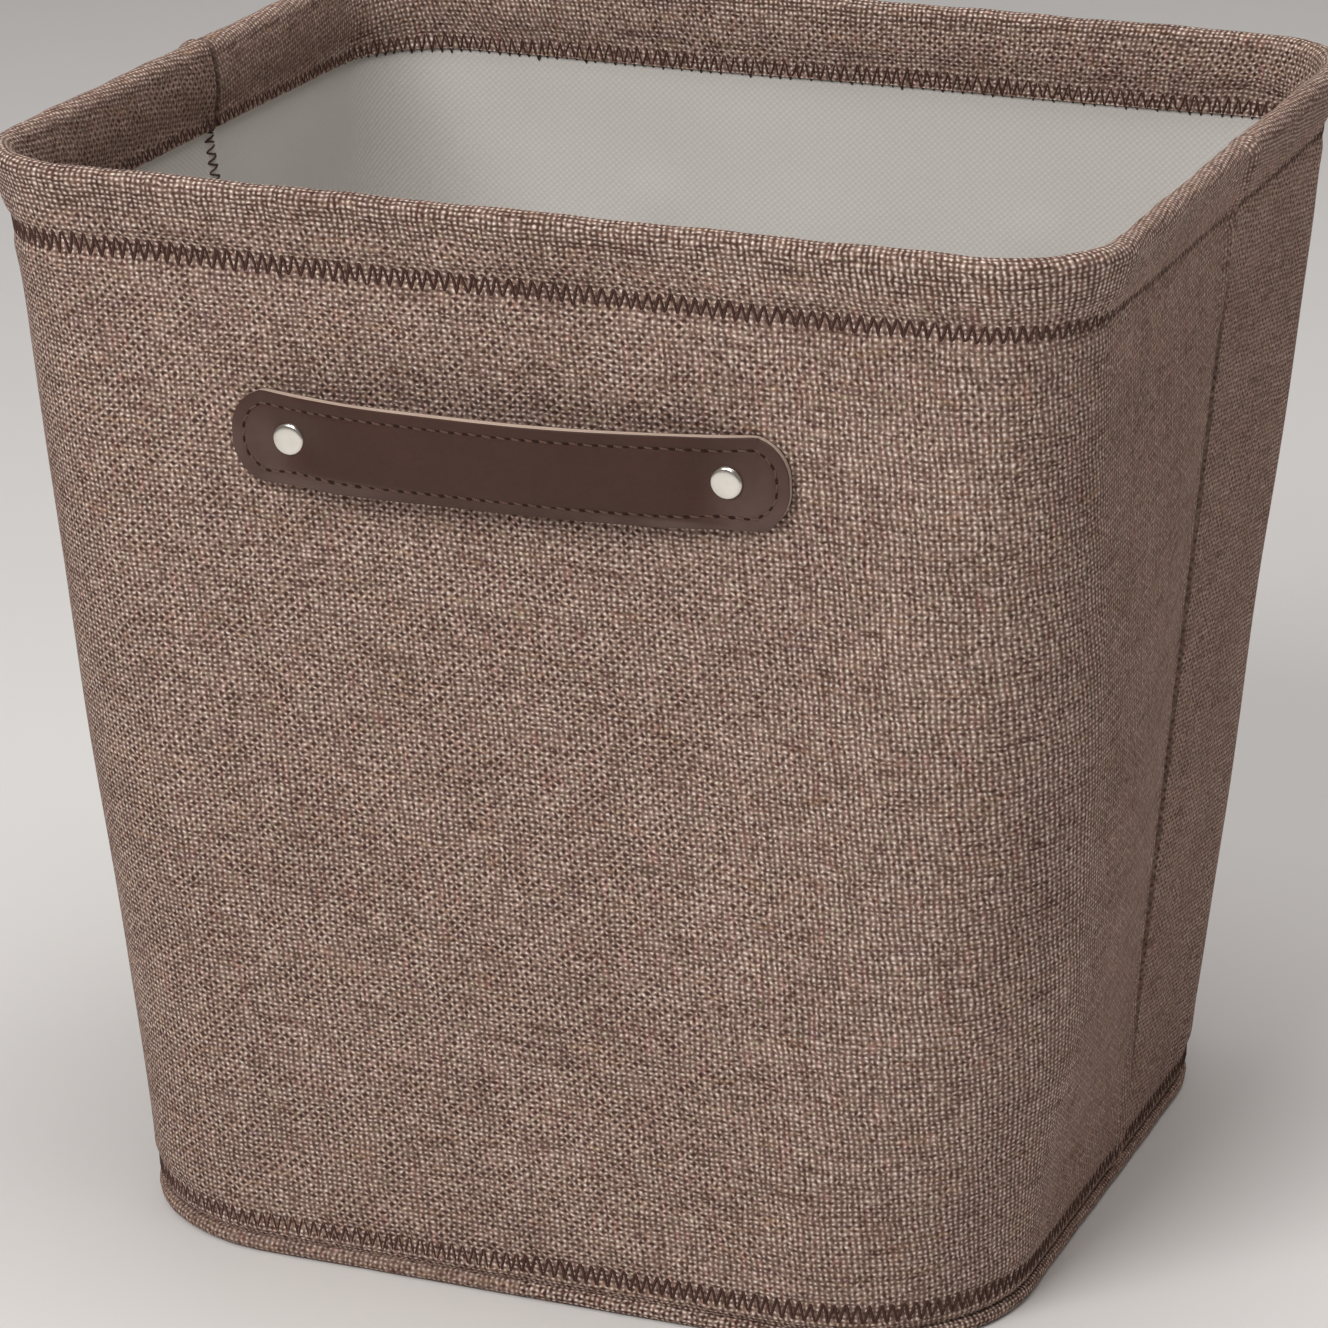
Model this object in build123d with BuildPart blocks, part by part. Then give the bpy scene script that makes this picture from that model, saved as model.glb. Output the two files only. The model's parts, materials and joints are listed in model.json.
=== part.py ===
"""Open-topped fabric storage bin: tapered fabric walls on a rim wire and a base edge
wire, pale lining, zigzag-stitched hems, two riveted straps and a lift-out base board.

Frame: origin at the middle of the underside, +Z up, +X to the right, front at -Y.
All lengths are in millimetres.
"""

import math
import os

from build123d import *

# ---------------------------------------------------------------- driving dimensions
# wall, outer face: rounded rectangle at the foot and at the rim (half sizes, corner radius)
HEIGHT = 343.0
FOOT_A, FOOT_B, FOOT_R = 143.4, 139.1, 60.0
RIM_A, RIM_B, RIM_R = 172.0, 147.9, 33.8

FABRIC_T = 1.0  # outer fabric
LINING_T = 0.7  # lining bonded to it
SEAM_Y = 9.0  # both side seams lie just behind mid depth

# rim hem: fabric folded over the rim wire and sewn through
RIM_ROLL_R = 4.0
RIM_WIRE_R = 2.0
RIM_Z = HEIGHT - RIM_ROLL_R  # middle of the wire
HEM_LOW = 316.0  # lower edge of the hem
HEM_STITCH_H = 7.0  # height of the zigzag row
HEM_OUT, HEM_IN = 0.2, -3.4  # faces of the sewn strip, from the wire's line
WALL_TOP = HEM_LOW - 0.3

# base edge: fabric rolled round the base wire
BASE_ROLL_R = 3.0
BASE_WIRE_R = 1.5
BASE_A, BASE_B, BASE_R = FOOT_A - 1.0, FOOT_B - 1.0, FOOT_R - 1.0
WALL_LOW = 2 * BASE_ROLL_R + 0.1
BASE_STITCH_Z = (8.6, 15.4)

# zigzag threads
THREAD_T = 0.5
SEAM_STITCH_W = 7.0

# lift-out base board
BOARD_T = 3.0
BOARD_Z = 2.0
BOARD_A, BOARD_B, BOARD_R = 137.4, 133.1, 54.0
COVER_T = 0.5

# strap handles
STRAP_L, STRAP_H, STRAP_END_R = 172.8, 28.0, 12.5
STRAP_GAP = 0.7  # rear face of the strap to the wall at the rivets
STRAP_BACK_T, STRAP_CORE_T, STRAP_FACE_T = 0.5, 1.7, 0.6
STRAP_BOW = 7.5  # how far the middle stands off
STRAP_FREE = 62.0  # half length of the free, bowed part
STRAP_STITCH_IN = 3.6  # stitch row from the strap's edge
RIVET_X = 67.8
RIVET_Z = 268.4
HANDLE_DX, HANDLE_DZ, HANDLE_TURN = 1.4, 1.2, 1.05  # front handle's place on the wall, degrees
RIVET_CAP_R, RIVET_CAP_H = 5.0, 2.0
RIVET_POST_R = 2.0
RIVET_BACK_R, RIVET_BACK_H = 4.5, 1.5  # inner caps, under the lining

os.makedirs("parts", exist_ok=True)


# ---------------------------------------------------------------- shared shapes
def wall_at(z, inset=0.0):
    """Half width, half depth and corner radius of the wall's outer face at height z, moved inward."""
    t = z / HEIGHT
    return (
        FOOT_A + (RIM_A - FOOT_A) * t - inset,
        FOOT_B + (RIM_B - FOOT_B) * t - inset,
        FOOT_R + (RIM_R - FOOT_R) * t - inset,
    )


def wall_section(z, inset):
    """A rounded rectangle of the wall at height z."""
    a, b, r = wall_at(z, inset)
    with BuildSketch(Plane.XY.offset(z)) as section:
        RectangleRounded(2 * a, 2 * b, r)
    return section.sketch


def half_loop(a, b, r, z, front=True):
    """One half of a rounded-rectangle loop at height z, from side seam to side seam."""
    s = -1 if front else 1
    y = SEAM_Y
    k = r * (1 - math.sqrt(0.5))
    p = [
        (-a, y, z),
        (-a, s * (b - r), z),
        (-a + k, s * (b - k), z),
        (-a + r, s * b, z),
        (a - r, s * b, z),
        (a - k, s * (b - k), z),
        (a, s * (b - r), z),
        (a, y, z),
    ]
    Line(p[0], p[1])
    ThreePointArc(p[1], p[2], p[3])
    Line(p[3], p[4])
    ThreePointArc(p[4], p[5], p[6])
    Line(p[6], p[7])


def open_loop(a, b, r, z, start):
    """A whole rounded-rectangle loop with a 1 mm gap: at the right-hand seam or at the middle of the back."""
    k = r * (1 - math.sqrt(0.5))
    if start == "right":
        first, last = (a, SEAM_Y + 0.5, z), (a, SEAM_Y - 0.5, z)
        p = [
            first,
            (a, b - r, z),
            (a - k, b - k, z),
            (a - r, b, z),
            (-a + r, b, z),
            (-a + k, b - k, z),
            (-a, b - r, z),
            (-a, -b + r, z),
            (-a + k, -b + k, z),
            (-a + r, -b, z),
            (a - r, -b, z),
            (a - k, -b + k, z),
            (a, -b + r, z),
            last,
        ]
    else:
        first, last = (-0.5, b, z), (0.5, b, z)
        p = [
            first,
            (-a + r, b, z),
            (-a + k, b - k, z),
            (-a, b - r, z),
            (-a, -b + r, z),
            (-a + k, -b + k, z),
            (-a + r, -b, z),
            (a - r, -b, z),
            (a - k, -b + k, z),
            (a, -b + r, z),
            (a, b - r, z),
            (a - k, b - k, z),
            (a - r, b, z),
            last,
        ]
    for i in range(0, 12, 3):
        Line(p[i], p[i + 1])
        ThreePointArc(p[i + 1], p[i + 2], p[i + 3])
    Line(p[12], p[13])


# wall plane at the middle of each handle: local x along the strap, y up the wall, z outward
wall_tilt = math.atan2(RIM_B - FOOT_B, HEIGHT)
wall_y = wall_at(RIVET_Z)[1]
c, s = math.cos(wall_tilt), math.sin(wall_tilt)
# the front handle sits a little right of the middle and about a degree off level
t = math.radians(HANDLE_TURN)
front_face = Plane(
    origin=(HANDLE_DX, -wall_at(RIVET_Z + HANDLE_DZ)[1], RIVET_Z + HANDLE_DZ),
    x_dir=(math.cos(t), -s * math.sin(t), c * math.sin(t)),
    z_dir=(0, -c, -s),
)
back_face = Plane(origin=(0, wall_y, RIVET_Z), x_dir=(-1, 0, 0), z_dir=(0, c, -s))
# the same places seen from above: x along the strap, y outward
front_top = Plane(origin=front_face.origin, x_dir=front_face.x_dir, z_dir=-front_face.y_dir)
back_top = Plane(origin=back_face.origin, x_dir=(-1, 0, 0), z_dir=-back_face.y_dir)

seam_plane = Plane.XZ.offset(-SEAM_Y)  # normal towards the front


# heights outward from the wall's outer face, through the strap and through the wall
Z_BACK = STRAP_GAP + STRAP_BACK_T  # between inner leather and core
Z_CORE = Z_BACK + STRAP_CORE_T  # between core and outer leather
Z_FACE = Z_CORE + STRAP_FACE_T  # outer face
Z_CAP = -(FABRIC_T + 0.15)  # outer side of the rivets' inner caps, under the lining
Z_POST = Z_CAP - 0.95  # end of the rivets' posts, in the caps' blind holes
Z_POCKET = Z_CAP - RIVET_BACK_H - 0.1  # lining's face over the caps


def two_rivets(top_plane, profile, mode=Mode.ADD):
    """Turns a half section about the axes of both rivets of a handle."""
    for x in (-RIVET_X, RIVET_X):
        centre = top_plane.from_local_coords(Vector(x, 0, 0))
        p = Plane(origin=centre, x_dir=top_plane.x_dir, z_dir=top_plane.z_dir)
        with BuildSketch(p) as section:
            profile()
        revolve(section.sketch, axis=Axis(centre, p.y_dir), mode=mode)


def cover_profile():
    """Half section of the low swelling of the lining over a rivet's inner cap."""
    low = Z_POCKET - LINING_T
    with BuildLine() as outline:
        Polyline(
            (0, low),
            (RIVET_BACK_R + 0.7, low),
            (RIVET_BACK_R + 3.2, -(FABRIC_T + LINING_T)),
            (RIVET_BACK_R + 3.2, -(FABRIC_T + 0.3)),
            (0, -(FABRIC_T + 0.3)),
            (0, low),
        )
    make_face(outline.edges())


def pocket_profile():
    """Half section of the room for the cap between the fabric and the lining."""
    with BuildLine() as outline:
        Polyline(
            (0, Z_POCKET),
            (RIVET_BACK_R + 0.3, Z_POCKET),
            (RIVET_BACK_R + 0.3, -FABRIC_T + 0.2),
            (0, -FABRIC_T + 0.2),
            (0, Z_POCKET),
        )
    make_face(outline.edges())


# ---------------------------------------------------------------- walls
with BuildPart() as front_panel:
    loft(
        [wall_section(WALL_LOW, 0), wall_section(WALL_TOP, 0)],
        ruled=True,
    )
    loft(
        [wall_section(WALL_LOW, FABRIC_T), wall_section(WALL_TOP, FABRIC_T)],
        ruled=True, mode=Mode.SUBTRACT,
    )
    split(bisect_by=seam_plane, keep=Keep.TOP)
    with BuildSketch(front_face):
        with Locations((-RIVET_X, 0), (RIVET_X, 0)):
            Circle(RIVET_POST_R + 0.4)
    extrude(amount=12, both=True, mode=Mode.SUBTRACT)

with BuildPart() as back_panel:
    loft(
        [wall_section(WALL_LOW, 0), wall_section(WALL_TOP, 0)],
        ruled=True,
    )
    loft(
        [wall_section(WALL_LOW, FABRIC_T), wall_section(WALL_TOP, FABRIC_T)],
        ruled=True, mode=Mode.SUBTRACT,
    )
    split(bisect_by=seam_plane, keep=Keep.BOTTOM)
    with BuildSketch(back_face):
        with Locations((-RIVET_X, 0), (RIVET_X, 0)):
            Circle(RIVET_POST_R + 0.4)
    extrude(amount=12, both=True, mode=Mode.SUBTRACT)

with BuildPart() as front_lining:
    loft(
        [wall_section(WALL_LOW, FABRIC_T), wall_section(WALL_TOP, FABRIC_T)],
        ruled=True,
    )
    loft(
        [wall_section(WALL_LOW, FABRIC_T + LINING_T), wall_section(WALL_TOP, FABRIC_T + LINING_T)],
        ruled=True, mode=Mode.SUBTRACT,
    )
    split(bisect_by=seam_plane, keep=Keep.TOP)
    two_rivets(front_top, cover_profile)
    two_rivets(front_top, pocket_profile, mode=Mode.SUBTRACT)

with BuildPart() as back_lining:
    loft(
        [wall_section(WALL_LOW, FABRIC_T), wall_section(WALL_TOP, FABRIC_T)],
        ruled=True,
    )
    loft(
        [wall_section(WALL_LOW, FABRIC_T + LINING_T), wall_section(WALL_TOP, FABRIC_T + LINING_T)],
        ruled=True, mode=Mode.SUBTRACT,
    )
    split(bisect_by=seam_plane, keep=Keep.BOTTOM)
    two_rivets(back_top, cover_profile)
    two_rivets(back_top, pocket_profile, mode=Mode.SUBTRACT)


# zigzag rows on the lining over the two side seams
def seam_row(side):
    """Thin tilted strip on the lining, from just above the base to just below the hem."""
    ends = []
    for z in (14.0, 312.0):
        a = wall_at(z, FABRIC_T + LINING_T)[0] - THREAD_T / 2
        with BuildSketch(Plane.XY.offset(z)) as end:
            with Locations((side * a, SEAM_Y)):
                Rectangle(THREAD_T, SEAM_STITCH_W)
        ends.append(end.sketch)
    loft(ends, ruled=True)


with BuildPart() as left_seam_stitch:
    seam_row(-1)

with BuildPart() as right_seam_stitch:
    seam_row(1)


# ---------------------------------------------------------------- rim
def hem_profile():
    """Sewn strip below, fold round the wire above; first axis outward from the wire's line, second axis up."""
    with BuildLine() as outline:
        Polyline(
            (-3.99, RIM_Z - 0.3),
            (HEM_IN, HEM_LOW + HEM_STITCH_H + 0.5),
            (HEM_IN, HEM_LOW),
            (HEM_OUT, HEM_LOW),
            (HEM_OUT, HEM_LOW + HEM_STITCH_H + 0.5),
            (3.4, RIM_Z - 6.0),
            (3.99, RIM_Z - 0.3),
        )
        ThreePointArc((3.99, RIM_Z - 0.3), (0, HEIGHT), (-3.99, RIM_Z - 0.3))
    make_face(outline.edges())
    with Locations((0, RIM_Z)):
        Circle(RIM_WIRE_R + 0.1, mode=Mode.SUBTRACT)


left_start = Plane(origin=(-RIM_A, SEAM_Y, 0), x_dir=(-1, 0, 0), z_dir=(0, 1, 0))

with BuildPart() as front_hem:
    with BuildLine() as front_hem_line:
        half_loop(RIM_A, RIM_B, RIM_R, 0, front=True)
    with BuildSketch(left_start):
        hem_profile()
    sweep(path=front_hem_line.wire())
    with BuildSketch(Plane(origin=(RIM_A, SEAM_Y, RIM_Z), z_dir=(0, 1, 0))):
        Circle(3.1)
    extrude(amount=15.6, both=True, mode=Mode.SUBTRACT)

with BuildPart() as back_hem:
    with BuildLine() as back_hem_line:
        half_loop(RIM_A, RIM_B, RIM_R, 0, front=False)
    with BuildSketch(left_start):
        hem_profile()
    sweep(path=back_hem_line.wire())
    with BuildSketch(Plane(origin=(RIM_A, SEAM_Y, RIM_Z), z_dir=(0, 1, 0))):
        Circle(3.1)
    extrude(amount=15.6, both=True, mode=Mode.SUBTRACT)

with BuildPart() as rim_wire:
    with BuildLine() as rim_wire_line:
        open_loop(RIM_A, RIM_B, RIM_R, RIM_Z, "right")
    with BuildSketch(Plane(origin=(RIM_A, SEAM_Y + 0.5, RIM_Z), z_dir=(0, 1, 0))):
        Circle(RIM_WIRE_R)
    sweep(path=rim_wire_line.wire())

with BuildPart() as rim_wire_ferrule:
    with BuildSketch(Plane(origin=(RIM_A, SEAM_Y, RIM_Z), z_dir=(0, 1, 0))):
        Circle(3.0)
        Circle(RIM_WIRE_R + 0.05, mode=Mode.SUBTRACT)
    extrude(amount=15, both=True)

with BuildPart() as rim_stitch_outer:
    with BuildSketch(Plane.XY.offset(HEM_LOW + 0.2)):
        o = HEM_OUT + THREAD_T
        RectangleRounded(2 * (RIM_A + o), 2 * (RIM_B + o), RIM_R + o)
        o = HEM_OUT
        RectangleRounded(
            2 * (RIM_A + o), 2 * (RIM_B + o), RIM_R + o, mode=Mode.SUBTRACT
        )
    extrude(amount=HEM_STITCH_H)

with BuildPart() as rim_stitch_inner:
    with BuildSketch(Plane.XY.offset(HEM_LOW + 0.2)):
        o = HEM_IN
        RectangleRounded(2 * (RIM_A + o), 2 * (RIM_B + o), RIM_R + o)
        o = HEM_IN - THREAD_T
        RectangleRounded(
            2 * (RIM_A + o), 2 * (RIM_B + o), RIM_R + o, mode=Mode.SUBTRACT
        )
    extrude(amount=HEM_STITCH_H)


# ---------------------------------------------------------------- base
with BuildPart() as base_edge_roll:
    for at_front in (True, False):
        with BuildLine() as roll_line:
            half_loop(BASE_A, BASE_B, BASE_R, BASE_ROLL_R, front=at_front)
        with BuildSketch(Plane(origin=(-BASE_A, SEAM_Y, BASE_ROLL_R), z_dir=(0, 1, 0))):
            Circle(BASE_ROLL_R)
            Circle(BASE_WIRE_R + 0.1, mode=Mode.SUBTRACT)
        sweep(path=roll_line.wire())
    with BuildSketch(Plane(origin=(0, BASE_B, BASE_ROLL_R), z_dir=(1, 0, 0))):
        Circle(2.4)
    extrude(amount=12.6, both=True, mode=Mode.SUBTRACT)

with BuildPart() as base_wire:
    with BuildLine() as base_wire_line:
        open_loop(BASE_A, BASE_B, BASE_R, BASE_ROLL_R, "back")
    with BuildSketch(Plane(origin=(-0.5, BASE_B, BASE_ROLL_R), z_dir=(1, 0, 0))):
        Circle(BASE_WIRE_R)
    sweep(path=base_wire_line.wire())

with BuildPart() as base_wire_ferrule:
    with BuildSketch(Plane(origin=(0, BASE_B, BASE_ROLL_R), z_dir=(1, 0, 0))):
        Circle(2.3)
        Circle(BASE_WIRE_R + 0.05, mode=Mode.SUBTRACT)
    extrude(amount=12, both=True)

base_in = BASE_ROLL_R + 0.1
with BuildPart() as base_panel:
    with BuildSketch():
        RectangleRounded(
            2 * (BASE_A - base_in), 2 * (BASE_B - base_in), BASE_R - base_in
        )
    extrude(amount=FABRIC_T)

with BuildPart() as base_lining:
    with BuildSketch(Plane.XY.offset(FABRIC_T)):
        RectangleRounded(
            2 * (BASE_A - base_in), 2 * (BASE_B - base_in), BASE_R - base_in
        )
    extrude(amount=LINING_T)

with BuildPart() as base_stitch:
    loft(
        [wall_section(BASE_STITCH_Z[0], -THREAD_T), wall_section(BASE_STITCH_Z[1], -THREAD_T)],
        ruled=True,
    )
    loft(
        [wall_section(BASE_STITCH_Z[0], 0), wall_section(BASE_STITCH_Z[1], 0)],
        ruled=True, mode=Mode.SUBTRACT,
    )

with BuildPart() as base_board:
    with BuildSketch(Plane.XY.offset(BOARD_Z)):
        RectangleRounded(2 * BOARD_A, 2 * BOARD_B, BOARD_R)
    extrude(amount=BOARD_T)

with BuildPart() as base_board_cover:
    with BuildSketch(Plane.XY.offset(BOARD_Z)):
        o = COVER_T
        RectangleRounded(2 * (BOARD_A + o), 2 * (BOARD_B + o), BOARD_R + o)
    extrude(amount=BOARD_T + COVER_T)
    with BuildSketch(Plane.XY.offset(BOARD_Z)):
        RectangleRounded(2 * BOARD_A, 2 * BOARD_B, BOARD_R)
    extrude(amount=BOARD_T, mode=Mode.SUBTRACT)


# ---------------------------------------------------------------- strap handles
def bow(x):
    """How far the strap stands off at x along its length."""
    if abs(x) >= STRAP_FREE:
        return 0.0
    return STRAP_BOW * (1 - (abs(x) / STRAP_FREE) ** 2.5) ** 1.2


def strap_layer(top_plane, low, high):
    """Strip between two distances from the wall, bowed in the middle, over the strap's whole height."""
    e = STRAP_L / 2
    xs = [STRAP_FREE * (i / 6.0) for i in range(-6, 7)]
    with BuildSketch(top_plane) as strip:
        with BuildLine():
            Line((-e, low), (-STRAP_FREE, low))
            Spline(
                [(x, low + bow(x)) for x in xs],
                tangents=[(1, 0), (1, 0)],
            )
            Line((STRAP_FREE, low), (e, low))
            Line((e, low), (e, high))
            Line((e, high), (STRAP_FREE, high))
            Spline(
                [(x, high + bow(x)) for x in reversed(xs)],
                tangents=[(-1, 0), (-1, 0)],
            )
            Line((-STRAP_FREE, high), (-e, high))
            Line((-e, high), (-e, low))
        make_face()
    extrude(strip.sketch, amount=STRAP_H / 2, both=True)


def strap_outline(face_plane):
    """Round the strap's ends and make room for the rivet posts."""
    with BuildSketch(face_plane) as outline:
        RectangleRounded(STRAP_L, STRAP_H, STRAP_END_R)
        with Locations((-RIVET_X, 0), (RIVET_X, 0)):
            Circle(RIVET_POST_R + 0.4, mode=Mode.SUBTRACT)
    extrude(outline.sketch, amount=30, both=True, mode=Mode.INTERSECT)


def strap_stitch_rows(top_plane, face_plane):
    """Perimeter rows of thread on the outer and the inner face."""
    strap_layer(top_plane, Z_FACE + 0.1, Z_FACE + 0.4)
    strap_layer(top_plane, STRAP_GAP - 0.35, STRAP_GAP - 0.1)
    i = STRAP_STITCH_IN
    with BuildSketch(face_plane) as row:
        o = i - 0.4
        RectangleRounded(STRAP_L - 2 * o, STRAP_H - 2 * o, STRAP_END_R - o)
        o = i + 0.4
        RectangleRounded(
            STRAP_L - 2 * o, STRAP_H - 2 * o, STRAP_END_R - o, mode=Mode.SUBTRACT
        )
    extrude(row.sketch, amount=30, both=True, mode=Mode.INTERSECT)


def crown_radius(half_width, rise):
    """Radius of a shallow dome centred on its axis."""
    return (half_width**2 + rise**2) / (2 * rise)


def rivet_profile():
    """Half section of a rivet: flat-domed cap outside and its post; first axis radial, second outward."""
    low = Z_FACE + 0.15
    with BuildLine() as outline:
        Polyline(
            (0, Z_POST),
            (RIVET_POST_R, Z_POST),
            (RIVET_POST_R, low),
            (RIVET_CAP_R - 0.5, low),
            (RIVET_CAP_R, low + 0.4),
            (RIVET_CAP_R, low + 0.8),
        )
        edge = (RIVET_CAP_R - 0.8, low + RIVET_CAP_H - 0.35)
        ThreePointArc(
            (RIVET_CAP_R, low + 0.8), (RIVET_CAP_R - 0.2, low + 1.37), edge
        )
        crown = crown_radius(edge[0], 0.35)
        ThreePointArc(
            edge,
            (2.0, low + RIVET_CAP_H - crown + math.sqrt(crown**2 - 4.0)),
            (0, low + RIVET_CAP_H),
        )
        Line((0, low + RIVET_CAP_H), (0, Z_POST))
    make_face(outline.edges())


def rivet_back_profile():
    """Half section of the cap between fabric and lining, with a blind hole for the post."""
    top = Z_CAP
    low = top - RIVET_BACK_H
    with BuildLine() as outline:
        Polyline(
            (0, Z_POST),
            (RIVET_POST_R + 0.03, Z_POST),
            (RIVET_POST_R + 0.03, top),
            (RIVET_BACK_R - 0.3, top),
            (RIVET_BACK_R, top - 0.3),
            (RIVET_BACK_R, top - 0.6),
        )
        crown = crown_radius(RIVET_BACK_R, RIVET_BACK_H - 0.6)
        ThreePointArc(
            (RIVET_BACK_R, top - 0.6),
            (2.0, low + crown - math.sqrt(crown**2 - 4.0)),
            (0, low),
        )
        Line((0, low), (0, Z_POST))
    make_face(outline.edges())


with BuildPart() as front_strap_backing:
    strap_layer(front_top, STRAP_GAP, Z_BACK)
    strap_outline(front_face)

with BuildPart() as front_strap_core:
    strap_layer(front_top, Z_BACK, Z_CORE)
    strap_outline(front_face)

with BuildPart() as front_strap_face:
    strap_layer(front_top, Z_CORE, Z_FACE)
    strap_outline(front_face)

with BuildPart() as front_strap_stitch:
    strap_stitch_rows(front_top, front_face)

with BuildPart() as front_rivets:
    two_rivets(front_top, rivet_profile)

with BuildPart() as front_rivet_backs:
    two_rivets(front_top, rivet_back_profile)

with BuildPart() as back_strap_backing:
    strap_layer(back_top, STRAP_GAP, Z_BACK)
    strap_outline(back_face)

with BuildPart() as back_strap_core:
    strap_layer(back_top, Z_BACK, Z_CORE)
    strap_outline(back_face)

with BuildPart() as back_strap_face:
    strap_layer(back_top, Z_CORE, Z_FACE)
    strap_outline(back_face)

with BuildPart() as back_strap_stitch:
    strap_stitch_rows(back_top, back_face)

with BuildPart() as back_rivets:
    two_rivets(back_top, rivet_profile)

with BuildPart() as back_rivet_backs:
    two_rivets(back_top, rivet_back_profile)


# ---------------------------------------------------------------- files
pieces = {
    "front_panel": front_panel,
    "back_panel": back_panel,
    "front_lining": front_lining,
    "back_lining": back_lining,
    "left_seam_stitch": left_seam_stitch,
    "right_seam_stitch": right_seam_stitch,
    "front_hem": front_hem,
    "back_hem": back_hem,
    "rim_wire": rim_wire,
    "rim_wire_ferrule": rim_wire_ferrule,
    "rim_stitch_outer": rim_stitch_outer,
    "rim_stitch_inner": rim_stitch_inner,
    "base_edge_roll": base_edge_roll,
    "base_wire": base_wire,
    "base_wire_ferrule": base_wire_ferrule,
    "base_panel": base_panel,
    "base_lining": base_lining,
    "base_stitch": base_stitch,
    "base_board": base_board,
    "base_board_cover": base_board_cover,
    "front_strap_backing": front_strap_backing,
    "front_strap_core": front_strap_core,
    "front_strap_face": front_strap_face,
    "front_strap_stitch": front_strap_stitch,
    "front_rivets": front_rivets,
    "front_rivet_backs": front_rivet_backs,
    "back_strap_backing": back_strap_backing,
    "back_strap_core": back_strap_core,
    "back_strap_face": back_strap_face,
    "back_strap_stitch": back_strap_stitch,
    "back_rivets": back_rivets,
    "back_rivet_backs": back_rivet_backs,
}

for name, piece in pieces.items():
    piece.part.label = name
    export_step(piece.part, f"parts/{name}.step")
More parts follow.
